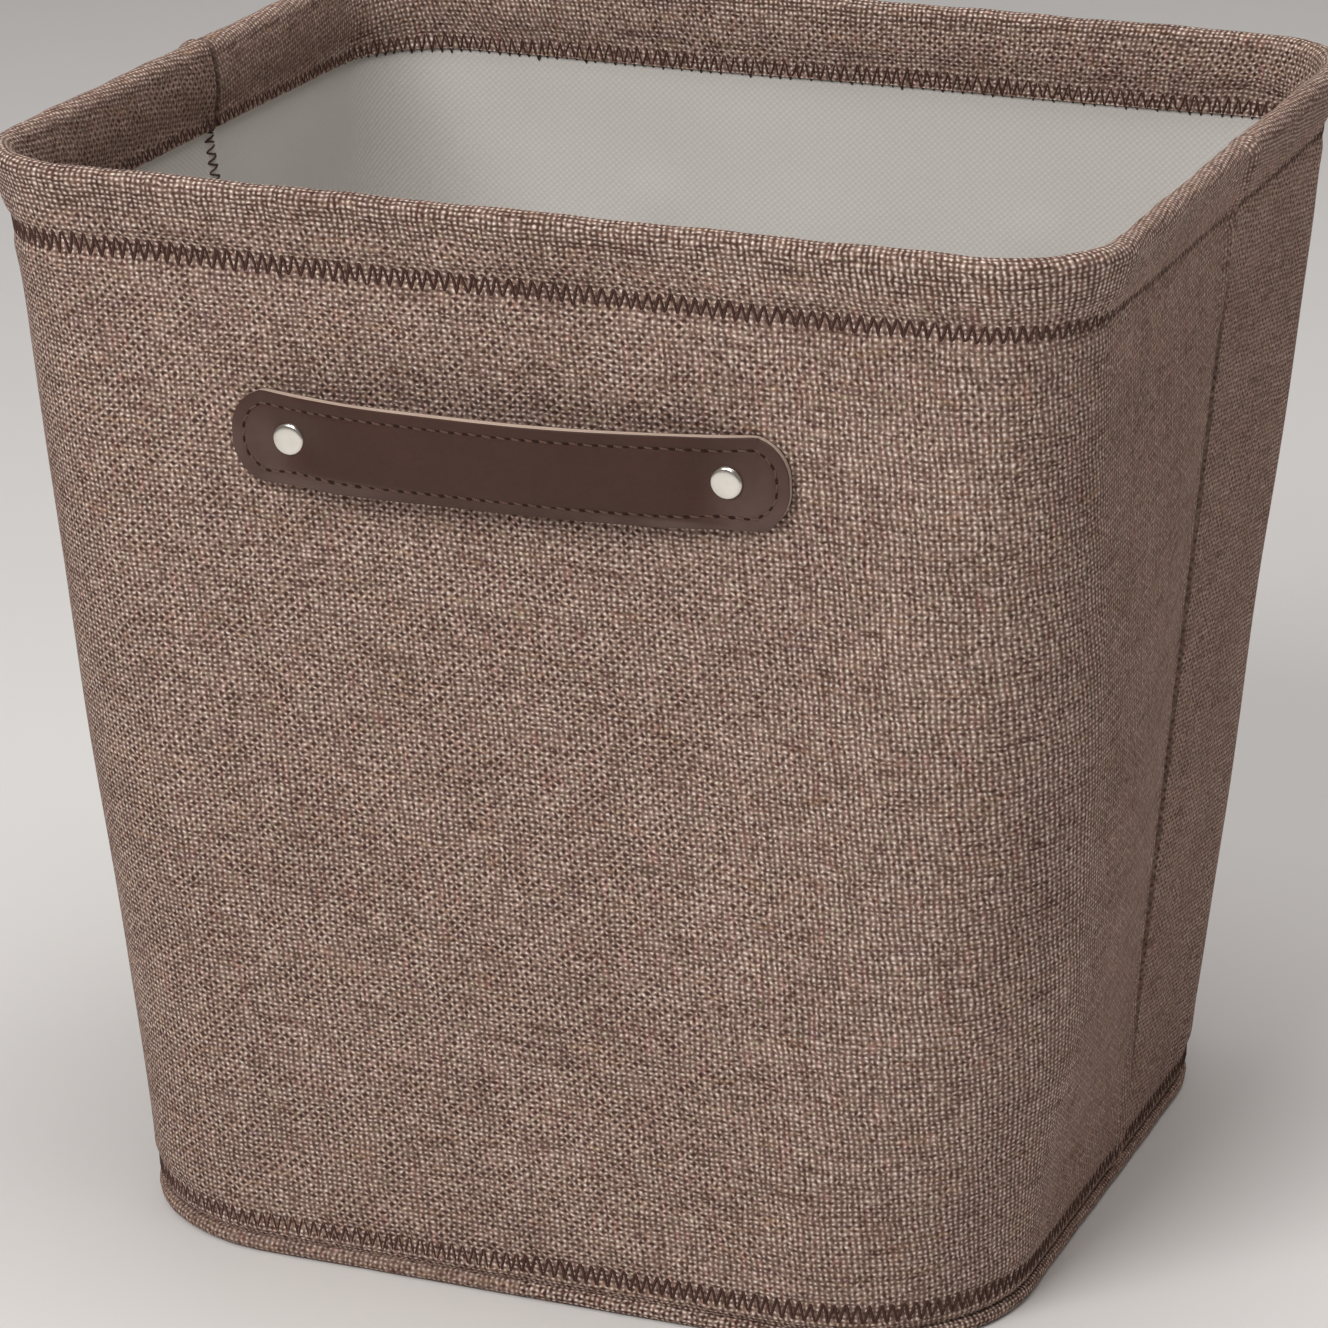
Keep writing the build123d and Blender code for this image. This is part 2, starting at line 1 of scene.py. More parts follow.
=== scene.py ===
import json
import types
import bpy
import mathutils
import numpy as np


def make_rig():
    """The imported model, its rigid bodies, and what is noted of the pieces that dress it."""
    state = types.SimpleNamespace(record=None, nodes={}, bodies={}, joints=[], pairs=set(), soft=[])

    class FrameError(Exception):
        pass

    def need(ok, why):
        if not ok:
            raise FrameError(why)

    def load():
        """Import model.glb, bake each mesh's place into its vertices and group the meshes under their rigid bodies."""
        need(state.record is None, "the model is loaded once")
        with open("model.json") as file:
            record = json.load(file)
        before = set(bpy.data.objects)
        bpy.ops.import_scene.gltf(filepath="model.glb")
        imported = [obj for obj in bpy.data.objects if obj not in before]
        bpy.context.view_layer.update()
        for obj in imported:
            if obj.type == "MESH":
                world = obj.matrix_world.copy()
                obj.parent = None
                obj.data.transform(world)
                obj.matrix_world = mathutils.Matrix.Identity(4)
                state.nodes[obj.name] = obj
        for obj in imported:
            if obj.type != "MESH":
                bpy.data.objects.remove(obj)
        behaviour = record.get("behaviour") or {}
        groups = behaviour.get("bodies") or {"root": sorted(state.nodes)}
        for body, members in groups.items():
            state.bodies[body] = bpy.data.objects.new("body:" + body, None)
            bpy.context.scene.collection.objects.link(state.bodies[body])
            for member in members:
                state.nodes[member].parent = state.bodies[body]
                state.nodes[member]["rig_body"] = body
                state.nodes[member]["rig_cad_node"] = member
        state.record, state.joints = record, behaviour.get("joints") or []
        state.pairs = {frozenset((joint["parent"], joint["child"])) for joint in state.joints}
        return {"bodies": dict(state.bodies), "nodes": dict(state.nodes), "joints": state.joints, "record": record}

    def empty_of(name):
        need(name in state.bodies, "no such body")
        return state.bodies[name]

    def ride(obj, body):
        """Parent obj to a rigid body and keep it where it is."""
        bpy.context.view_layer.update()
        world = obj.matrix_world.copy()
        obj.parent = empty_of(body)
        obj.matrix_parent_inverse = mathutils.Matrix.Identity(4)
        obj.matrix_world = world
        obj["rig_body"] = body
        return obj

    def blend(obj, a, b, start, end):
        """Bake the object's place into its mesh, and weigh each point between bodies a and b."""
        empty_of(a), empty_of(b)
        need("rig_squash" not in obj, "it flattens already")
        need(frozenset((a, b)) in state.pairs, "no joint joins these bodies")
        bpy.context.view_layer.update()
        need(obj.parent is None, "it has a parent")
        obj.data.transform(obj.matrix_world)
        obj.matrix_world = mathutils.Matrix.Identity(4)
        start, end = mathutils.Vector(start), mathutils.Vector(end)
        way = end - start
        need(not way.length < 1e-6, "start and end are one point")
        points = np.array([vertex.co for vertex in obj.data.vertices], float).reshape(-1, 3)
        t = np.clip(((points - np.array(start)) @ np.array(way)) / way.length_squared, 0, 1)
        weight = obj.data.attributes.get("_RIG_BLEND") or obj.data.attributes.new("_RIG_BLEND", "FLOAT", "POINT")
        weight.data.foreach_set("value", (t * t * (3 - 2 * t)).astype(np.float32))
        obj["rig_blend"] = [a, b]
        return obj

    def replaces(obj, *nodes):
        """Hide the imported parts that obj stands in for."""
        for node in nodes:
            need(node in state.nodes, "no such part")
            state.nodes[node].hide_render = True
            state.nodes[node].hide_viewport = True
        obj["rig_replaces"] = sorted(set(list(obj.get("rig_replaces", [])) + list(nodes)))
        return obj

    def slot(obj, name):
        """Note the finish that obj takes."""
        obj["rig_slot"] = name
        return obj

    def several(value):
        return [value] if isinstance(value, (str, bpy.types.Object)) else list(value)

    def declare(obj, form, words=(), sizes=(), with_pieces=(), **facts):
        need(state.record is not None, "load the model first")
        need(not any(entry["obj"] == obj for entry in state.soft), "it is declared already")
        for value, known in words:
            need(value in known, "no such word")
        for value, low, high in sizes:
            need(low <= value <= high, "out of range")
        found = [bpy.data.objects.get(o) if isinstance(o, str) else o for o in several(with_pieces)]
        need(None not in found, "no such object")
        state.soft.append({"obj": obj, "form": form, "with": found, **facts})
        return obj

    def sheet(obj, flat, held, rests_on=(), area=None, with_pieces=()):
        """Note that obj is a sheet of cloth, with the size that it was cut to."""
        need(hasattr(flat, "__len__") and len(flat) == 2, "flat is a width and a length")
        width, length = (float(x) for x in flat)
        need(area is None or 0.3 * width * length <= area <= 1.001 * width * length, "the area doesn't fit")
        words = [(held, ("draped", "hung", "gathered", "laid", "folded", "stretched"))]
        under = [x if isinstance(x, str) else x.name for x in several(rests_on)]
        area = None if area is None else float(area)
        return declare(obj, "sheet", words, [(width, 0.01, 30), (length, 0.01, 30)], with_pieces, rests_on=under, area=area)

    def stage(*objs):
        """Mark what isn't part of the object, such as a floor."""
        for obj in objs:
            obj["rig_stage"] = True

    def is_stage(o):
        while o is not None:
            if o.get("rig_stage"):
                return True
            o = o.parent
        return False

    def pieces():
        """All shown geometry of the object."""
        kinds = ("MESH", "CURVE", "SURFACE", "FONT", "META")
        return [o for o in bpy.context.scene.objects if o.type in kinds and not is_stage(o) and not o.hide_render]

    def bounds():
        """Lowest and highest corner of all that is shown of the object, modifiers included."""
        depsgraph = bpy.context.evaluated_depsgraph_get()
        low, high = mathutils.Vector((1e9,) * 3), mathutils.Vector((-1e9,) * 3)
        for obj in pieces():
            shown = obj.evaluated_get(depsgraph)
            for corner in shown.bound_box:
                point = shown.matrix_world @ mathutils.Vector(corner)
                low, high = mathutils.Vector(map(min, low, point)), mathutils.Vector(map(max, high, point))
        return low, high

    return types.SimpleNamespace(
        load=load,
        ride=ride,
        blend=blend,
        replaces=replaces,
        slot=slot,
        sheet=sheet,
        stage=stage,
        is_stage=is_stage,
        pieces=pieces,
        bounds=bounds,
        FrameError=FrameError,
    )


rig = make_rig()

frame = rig.load()

import json
import math

import bpy
import numpy as np
from mathutils import Matrix, Vector

CAD_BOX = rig.bounds()
NODES = frame["nodes"]
MM = 0.001

# ------------------------------------------------------------------ sizes, in millimetres
HEIGHT = 343.0
FOOT = (143.4, 139.1, 60.0)
RIM = (172.0, 147.9, 33.8)
SEAM_Y = 9.0
RIM_Z, ROLL_R, WIRE_N = 339.0, 4.0, 0.2
HEM_Z0, HEM_Z1 = 316.4, 322.8  # zigzag row of the hem
BASE_Z0, BASE_Z1 = 8.9, 15.3  # zigzag row of the foot
ZIG = 3.53
FOLD_LOW, FOLD_HIGH = 121.0, 223.5  # the wall folds here when the rim is pressed down
RIVET_X, RIVET_Z = 67.8, 268.4
TILT = math.atan2(8.8, 343.0)  # lean of the front and the back
HANDLE = {"front": (1.4, RIVET_Z + 1.2, math.radians(1.05)), "back": (0.0, RIVET_Z, 0.0)}  # middle, height, turn


def section(z):
    """Half width, half depth and corner radius of the wall's outer face at height z."""
    t = np.asarray(z, float) / HEIGHT
    return tuple(f + (r - f) * t for f, r in zip(FOOT, RIM))


def around(a, b, r, s):
    """Points and outward normals of a rounded rectangle, s to the right of the middle of its front."""
    a, b, r, s = np.broadcast_arrays(*(np.asarray(v, float) for v in (a, b, r, s)))
    q = np.pi * r / 2
    lens = [a - r, q, 2 * (b - r), q, 2 * (a - r), q, 2 * (b - r), q, a - r]
    whole = sum(lens)
    s = np.mod(s, whole)
    x, y, nx, ny = (np.zeros(s.shape) for _ in range(4))
    start = np.zeros(s.shape)
    one, nil = np.ones(s.shape), np.zeros(s.shape)
    for k, length in enumerate(lens):
        d = s - start
        here = (d >= 0) & (d <= length + 1e-9)
        if k % 2:
            turn = {1: -0.5, 3: 0.0, 5: 0.5, 7: 1.0}[k] * np.pi + d / r
            cx = (a - r) * (1 if k in (1, 3) else -1)
            cy = (b - r) * (1 if k in (3, 5) else -1)
            px, py, mx, my = cx + r * np.cos(turn), cy + r * np.sin(turn), np.cos(turn), np.sin(turn)
        else:
            px, py, mx, my = {
                0: (d, -b, nil, -one),
                2: (a, -(b - r) + d, one, nil),
                4: ((a - r) - d, b, nil, one),
                6: (-a, (b - r) - d, -one, nil),
                8: (-(a - r) + d, -b, nil, -one),
            }[k]
        for into, value in ((x, px), (y, py), (nx, mx), (ny, my)):
            into[here] = value[here]
        start = start + length
    return x, y, nx, ny


def perimeter(a, b, r):
    return 4 * (a - r) + 4 * (b - r) + 2 * np.pi * r


def seam_at(z, front):
    """Length along the wall from the middle of the front or the back to a side seam."""
    a, b, r = section(z)
    return (a - r) + np.pi * r / 2 + (b - r) + (SEAM_Y if front else -SEAM_Y)


def step(x, lo, hi):
    t = np.clip((np.asarray(x, float) - lo) / (hi - lo), 0, 1)
    return t * t * (3 - 2 * t)


# profile of the outer fabric: height, and distance out from the wall's plain face
OUTSIDE = [
    (4.6, -1.9), (5.4, -1.45), (6.1, -0.95), (6.8, -0.45), (7.6, -0.15), (8.4, -0.12), (9.4, -0.25), (10.6, -0.4), (12.1, -0.5),
    (13.6, -0.4), (14.8, -0.2), (15.8, 0.05), (17.0, 0.22), (18.6, 0.26), (20.5, 0.2), (24.0, 0.08),
]
OUTSIDE += [(z, 0.0) for z in np.linspace(29, 301, 52)]
OUTSIDE += [
    (305.0, 0.06), (308.0, 0.16), (310.5, 0.27), (312.6, 0.32), (314.2, 0.22), (315.4, 0.02), (316.5, -0.2), (317.8, -0.38),
    (319.4, -0.46), (321.0, -0.36), (322.2, -0.1), (323.2, 0.3), (324.2, 0.8), (325.4, 1.28), (326.8, 1.7), (328.4, 2.06),
    (330.2, 2.38), (332.2, 2.75), (334.2, 3.2), (336.0, 3.66),
]
ROLL = [
    (RIM_Z + ROLL_R * math.sin(math.radians(g)), WIRE_N + ROLL_R * math.cos(math.radians(g)))
    for g in np.linspace(-14, 188, 26)
]
INSIDE = [
    (337.2, -3.98), (335.6, -4.2), (333.8, -4.42), (332.0, -4.55), (330.0, -4.6), (328.2, -4.5), (326.6, -4.3), (325.2, -4.0),
    (324.0, -3.68), (322.8, -3.38), (321.4, -3.16), (320.0, -3.05), (318.6, -3.02), (317.4, -3.06), (316.5, -3.15), (315.8, -3.26),
]
OUT_Z, OUT_N = (np.array(v) for v in zip(*(OUTSIDE + ROLL[:3])))
IN_Z, IN_N = (np.array(v) for v in zip(*sorted(INSIDE)))


def out_n(z):
    return np.interp(z, OUT_Z, OUT_N)


def in_n(z):
    return np.interp(z, IN_Z, IN_N)


def hem_shift(s_front):
    """The sewn row of the hem runs a little deeper on the left than on the right."""
    return 0.85 * np.clip(np.asarray(s_front, float) / 170.0, -1, 1) + 0.18 * np.sin(np.asarray(s_front) * 0.043 + 0.7)


def swell(s, z, half):
    """How far the soft wall stands off its plain face: slow waves, and the pull of the rivets on the front and back."""
    k = 0.0 if half == "front" else 2.3
    live = step(z, 18, 60) * (1 - step(z, 286, 314))
    w = 0.5 * np.sin(s * 0.021 + z * 0.011 + k) * np.sin(z * 0.017 + 0.6 + k)
    w = w + 0.32 * np.sin(s * 0.047 - z * 0.023 + 1.7 * k) + 0.2 * np.sin(s * 0.013 + z * 0.061 + 0.4 + k)
    w = w - 0.9 * np.sin(np.pi * np.clip(z / 330.0, 0, 1)) * np.exp(-((s / 120.0) ** 2))
    mid, high, turn = HANDLE[half]
    for rx in (-RIVET_X, RIVET_X):
        d2 = (s - mid - rx * math.cos(turn)) ** 2 + (z - high - rx * math.sin(turn)) ** 2
        w = w - 0.45 * np.exp(-d2 / 130.0) + 0.25 * np.exp(-d2 / 900.0)
    low = 0.5 * np.sin(s * 0.085 + k) * step(z, 14, 20) * (1 - step(z, 24, 60))
    top = (0.3 * np.sin(s * 0.061 + 1.1 + k) + 0.16 * np.sin(s * 0.17 + 2 * k)) * step(z, 322, 329) * (1 - step(z, 336, 341))
    pucker = 0.16 * np.sin(s * 0.52 + 1.3 * np.sin(s * 0.07)) * (
        np.exp(-(((z - 312.5) / 3.0) ** 2)) + np.exp(-(((z - 325.0) / 2.2) ** 2)) + 0.8 * np.exp(-(((z - 18.5) / 3.0) ** 2)))
    near = seam_at(z, half == "front") - np.abs(s)
    flat = step(near, 3, 42)  # both halves meet at the seams
    # the seams are drawn in: the front rounds into them, and the back rises steeply again behind the front's edge
    past = -near if half == "front" else near
    groove = np.where(past < 0, np.exp(-((past / 5.5) ** 2)), np.exp(-((np.maximum(past - 2.6, 0) / 3.0) ** 2)))
    high = step(z, 16, 80) * (1 - step(z, 276, 314))
    drawn = 1.8 * groove * high
    # the right side is full in front of its seam, so that the corner runs on in one curve to the seam
    ra, rb, rr = section(z)
    along = np.clip((np.abs(s) - (ra - rr) - 14.0) / (seam_at(z, half == "front") - (ra - rr) - 14.0), 0, 1)
    right = (s > 0) if half == "front" else (s < 0)
    full = np.where(right, 8.0 if half == "front" else 1.2, 0.8) * np.sin(np.pi * along) ** 1.15 * step(z, 14, 110) * (1 - step(z, 190, 310))
    return flat * (live * w + low + top) + step(near, 3, 14) * pucker - drawn + full


def fold_weight(z):
    """Share of the rim's travel that a point of the wall at height z takes: the lower part stays, the upper part goes
    down with the rim, and the part between turns over."""
    x = (np.asarray(z, float) - FOLD_LOW) / (FOLD_HIGH - FOLD_LOW)
    k = 0.03
    soft = lambda v: np.where(v < -k, 0, np.where(v > k, v, (v + k) ** 2 / (4 * k)))
    return np.clip(soft(x) - soft(x - 1), 0, 1)


# ------------------------------------------------------------------ mesh helpers
def make_mesh(name, verts, faces, uv=None, mats=(), sharp=50.0, face_mat=None):
    me = bpy.data.meshes.new(name)
    me.from_pydata([tuple(v) for v in np.asarray(verts, float) * MM], [], [tuple(int(i) for i in f) for f in faces])
    if uv is not None:
        layer = me.uv_layers.new(name="cloth")
        loops = np.empty(len(me.loops), np.int32)
        me.loops.foreach_get("vertex_index", loops)
        layer.data.foreach_set("uv", (np.asarray(uv, float)[loops] * MM).astype(np.float32).ravel())
    me.polygons.foreach_set("use_smooth", np.ones(len(me.polygons), bool))
    for m in mats:
        me.materials.append(m)
    if face_mat is not None:
        me.polygons.foreach_set("material_index", np.asarray(face_mat, np.int32))
    me.update()
    me.set_sharp_from_angle(angle=math.radians(sharp))
    ob = bpy.data.objects.new(name, me)
    bpy.context.scene.collection.objects.link(ob)
    return ob


def grid_normals(p):
    """Unit normals of a grid of points, columns first, pointing to the right-hand side of columns x rows."""
    du, dv = np.gradient(p, axis=0), np.gradient(p, axis=1)
    n = np.cross(du, dv)
    return n / np.maximum(np.linalg.norm(n, axis=2, keepdims=True), 1e-12)


def closed_sheet(name, outer, inner, uv, mats, ring=False, sharp=50.0, pick=None):
    """A closed thin sheet from two grids of points. A ring joins its last column to its first. pick is the material of
    each strip between two columns."""
    nc, nr = outer.shape[:2]
    idx = np.arange(nc * nr).reshape(nc, nr)
    cols = np.arange(nc if ring else nc - 1)
    nxt = (cols + 1) % nc
    a, b, c, d = idx[cols, :-1], idx[nxt, :-1], idx[nxt, 1:], idx[cols, 1:]
    front = np.stack([a, b, c, d], -1).reshape(-1, 4)
    m = nc * nr
    faces = [front, front[:, ::-1] + m]
    for row, flip in ((0, True), (nr - 1, False)):
        p, q = idx[cols, row], idx[nxt, row]
        f = np.stack([p, q, q + m, p + m], -1)
        faces.append(f[:, ::-1] if flip else f)
        if flip:
            faces[-1] = np.stack([q, p, p + m, q + m], -1)
    if not ring:
        for col, flip in ((0, False), (nc - 1, True)):
            p, q = idx[col, :-1], idx[col, 1:]
            faces.append(np.stack([q, p, p + m, q + m], -1) if flip else np.stack([p, q, q + m, p + m], -1))
    faces = np.concatenate(faces)
    verts = np.concatenate([outer.reshape(-1, 3), inner.reshape(-1, 3)])
    uvs = np.concatenate([uv.reshape(-1, 2)] * 2)
    mat = None
    if pick is not None:
        strips = np.repeat(pick, nr - 1)
        mat = np.concatenate([strips, strips, pick, pick] + ([] if ring else [np.full(nr - 1, pick[0]), np.full(nr - 1, pick[-1])]))
    ob = make_mesh(name, verts, faces, uvs, mats, sharp, mat)
    face_out(ob)
    return ob


def face_out(ob):
    """Turns a closed mesh's faces outward if they all point in."""
    me = ob.data
    n = len(me.vertices)
    co = np.empty(n * 3)
    me.vertices.foreach_get("co", co)
    co = co.reshape(-1, 3)
    me.calc_loop_triangles()
    tri = np.empty(len(me.loop_triangles) * 3, np.int32)
    me.loop_triangles.foreach_get("vertices", tri)
    t = co[tri.reshape(-1, 3)] - co.mean(0)
    if np.einsum("ij,ij->i", t[:, 0], np.cross(t[:, 1], t[:, 2])).sum() < 0:
        me.flip_normals()


def set_weights(ob, w):
    a = ob.data.attributes["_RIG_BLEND"]
    a.data.foreach_set("value", np.asarray(w, np.float32))


def rest_z(ob):
    co = np.empty(len(ob.data.vertices) * 3)
    ob.data.vertices.foreach_get("co", co)
    return co.reshape(-1, 3)[:, 2] / MM


def fold_with_rim(ob):
    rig.blend(ob, "bin_body", "rim", start=(0, 0, FOLD_LOW * MM), end=(0, 0, FOLD_HIGH * MM))
    set_weights(ob, fold_weight(rest_z(ob)))


def tubes(name, paths, up, radius, mats, sides=7, pick=None):
    """Many short threads as one mesh. paths and up are (threads, points, 3); radius is a number or (threads, points);
    pick is the material of each thread."""
    paths = np.asarray(paths, float)
    nt, npts = paths.shape[:2]
    tan = np.gradient(paths, axis=1)
    tan /= np.maximum(np.linalg.norm(tan, axis=2, keepdims=True), 1e-12)
    up = np.broadcast_to(up, paths.shape)
    side = np.cross(tan, up)
    side /= np.maximum(np.linalg.norm(side, axis=2, keepdims=True), 1e-12)
    top = np.cross(side, tan)
    rad = np.broadcast_to(np.asarray(radius, float), (nt, npts))
    ang = np.linspace(0, 2 * np.pi, sides, endpoint=False)
    ring = (
        paths[:, :, None, :]
        + rad[:, :, None, None] * (np.cos(ang)[None, None, :, None] * side[:, :, None, :] + np.sin(ang)[None, None, :, None] * top[:, :, None, :])
    )
    verts = ring.reshape(-1, 3)
    length = np.concatenate([np.zeros((nt, 1)), np.cumsum(np.linalg.norm(np.diff(paths, axis=1), axis=2), axis=1)], 1)
    length = length + np.arange(nt)[:, None] * 3.77
    uv = np.stack(np.broadcast_arrays(length[:, :, None], (ang / (2 * np.pi) * 2.0)[None, None, :]), -1).reshape(-1, 2)
    idx = np.arange(nt * npts * sides).reshape(nt, npts, sides)
    nxt = np.roll(idx, -1, axis=2)
    quads = np.stack([idx[:, :-1], nxt[:, :-1], nxt[:, 1:], idx[:, 1:]], -1).reshape(-1, 4)
    faces = [tuple(f) for f in quads]
    faces += [tuple(idx[t, 0, ::-1]) for t in range(nt)] + [tuple(idx[t, -1]) for t in range(nt)]
    face_mat = None if pick is None else np.concatenate([np.repeat(pick, (npts - 1) * sides), pick, pick])
    ob = make_mesh(name, verts, faces, uv, mats, sharp=75.0, face_mat=face_mat)
    face_out(ob)
    return ob


# ------------------------------------------------------------------ material helpers
class Value:
    """A socket of a node tree that can be used in arithmetic."""

    def __init__(self, tree, socket):
        self.tree, self.socket = tree, socket

    def _op(self, op, *others, flip=False, clamp=False):
        n = self.tree.nodes.new("ShaderNodeMath")
        n.operation, n.use_clamp = op, clamp
        args = [self, *others]
        if flip:
            args.reverse()
        for k, v in enumerate(args):
            if isinstance(v, Value):
                self.tree.links.new(v.socket, n.inputs[k])
            else:
                n.inputs[k].default_value = float(v)
        return Value(self.tree, n.outputs[0])

    def __add__(self, o): return self._op("ADD", o)
    def __radd__(self, o): return self._op("ADD", o)
    def __sub__(self, o): return self._op("SUBTRACT", o)
    def __rsub__(self, o): return self._op("SUBTRACT", o, flip=True)
    def __mul__(self, o): return self._op("MULTIPLY", o)
    def __rmul__(self, o): return self._op("MULTIPLY", o)
    def __truediv__(self, o): return self._op("DIVIDE", o)
    def floor(self): return self._op("FLOOR")
    def frac(self): return self._op("FRACT")
    def abs(self): return self._op("ABSOLUTE")
    def sin(self): return self._op("SINE")
    def cos(self): return self._op("COSINE")
    def pow(self, e): return self._op("POWER", e)
    def max(self, o): return self._op("MAXIMUM", o)
    def min(self, o): return self._op("MINIMUM", o)
    def above(self, o): return self._op("GREATER_THAN", o)
    def clamp(self): return self._op("ADD", 0.0, clamp=True)

    def smooth(self, lo, hi, out_lo=0.0, out_hi=1.0):
        n = self.tree.nodes.new("ShaderNodeMapRange")
        n.interpolation_type = "SMOOTHSTEP"
        self.tree.links.new(self.socket, n.inputs["Value"])
        for key, v in (("From Min", lo), ("From Max", hi), ("To Min", out_lo), ("To Max", out_hi)):
            n.inputs[key].default_value = v
        return Value(self.tree, n.outputs["Result"])


class Material:
    """A node material with one main shader."""

    def __init__(self, name, **constants):
        self.mat = bpy.data.materials.new(name)
        self.mat.use_nodes = True
        self.tree = self.mat.node_tree
        self.tree.nodes.clear()
        self.out = self.tree.nodes.new("ShaderNodeOutputMaterial")
        self.shader = self.tree.nodes.new("ShaderNodeBsdfPrincipled")
        self.tree.links.new(self.shader.outputs["BSDF"], self.out.inputs["Surface"])
        for k, v in constants.items():
            self.shader.inputs[k.replace("_", " ")].default_value = v

    def node(self, kind, **props):
        n = self.tree.nodes.new(kind)
        for k, v in props.items():
            setattr(n, k, v)
        return n

    def link(self, a, b):
        self.tree.links.new(a.socket if isinstance(a, Value) else a, b)

    def uv(self):
        n = self.node("ShaderNodeUVMap", uv_map="cloth")
        s = self.node("ShaderNodeSeparateXYZ")
        self.link(n.outputs["UV"], s.inputs[0])
        return Value(self.tree, s.outputs[0]), Value(self.tree, s.outputs[1])

    def place(self):
        n = self.node("ShaderNodeTexCoord")
        s = self.node("ShaderNodeSeparateXYZ")
        self.link(n.outputs["Object"], s.inputs[0])
        return [Value(self.tree, s.outputs[k]) for k in range(3)]

    def vec(self, x, y=0.0, z=0.0):
        n = self.node("ShaderNodeCombineXYZ")
        for k, v in enumerate((x, y, z)):
            if isinstance(v, Value):
                self.link(v, n.inputs[k])
            else:
                n.inputs[k].default_value = float(v)
        return Value(self.tree, n.outputs[0])

    def noise(self, v, scale=1.0, detail=2.0, rough=0.5, dims="3D", twist=0.0):
        n = self.node("ShaderNodeTexNoise", noise_dimensions=dims)
        n.inputs["Scale"].default_value, n.inputs["Detail"].default_value = scale, detail
        n.inputs["Roughness"].default_value = rough
        n.inputs["Distortion"].default_value = twist
        self.link(v, n.inputs["Vector"])
        return Value(self.tree, n.outputs[0])

    def white(self, v, dims="2D"):
        n = self.node("ShaderNodeTexWhiteNoise", noise_dimensions=dims)
        self.link(v, n.inputs["Vector"])
        return Value(self.tree, n.outputs["Value"])

    def cells(self, v, scale, feature="F1", randomness=1.0):
        n = self.node("ShaderNodeTexVoronoi", feature=feature)
        n.inputs["Scale"].default_value, n.inputs["Randomness"].default_value = scale, randomness
        self.link(v, n.inputs["Vector"])
        return Value(self.tree, n.outputs["Distance"])

    def mix(self, f, a, b, how="MIX"):
        n = self.node("ShaderNodeMix", data_type="RGBA", blend_type=how)
        n.clamp_factor = True
        for sock, v in ((n.inputs[0], f), (n.inputs[6], a), (n.inputs[7], b)):
            if isinstance(v, Value):
                self.link(v, sock)
            elif isinstance(v, (int, float)):
                sock.default_value = v
            else:
                sock.default_value = (*v, 1.0)
        return Value(self.tree, n.outputs[2])

    def grey(self, v):
        n = self.node("ShaderNodeCombineColor")
        for k in range(3):
            self.link(v, n.inputs[k])
        return Value(self.tree, n.outputs[0])

    def bump(self, height, distance, strength=1.0):
        n = self.node("ShaderNodeBump")
        n.inputs["Strength"].default_value, n.inputs["Distance"].default_value = strength, distance
        self.link(height, n.inputs["Height"])
        self.link(n.outputs["Normal"], self.shader.inputs["Normal"])

    def set(self, name, v):
        self.link(v, self.shader.inputs[name])


def rgb(r, g, b):
    """Linear colour of a screen colour."""
    return tuple(((c / 255) / 12.92 if c <= 10.31 else (((c / 255) + 0.055) / 1.055) ** 2.4) for c in (r, g, b))


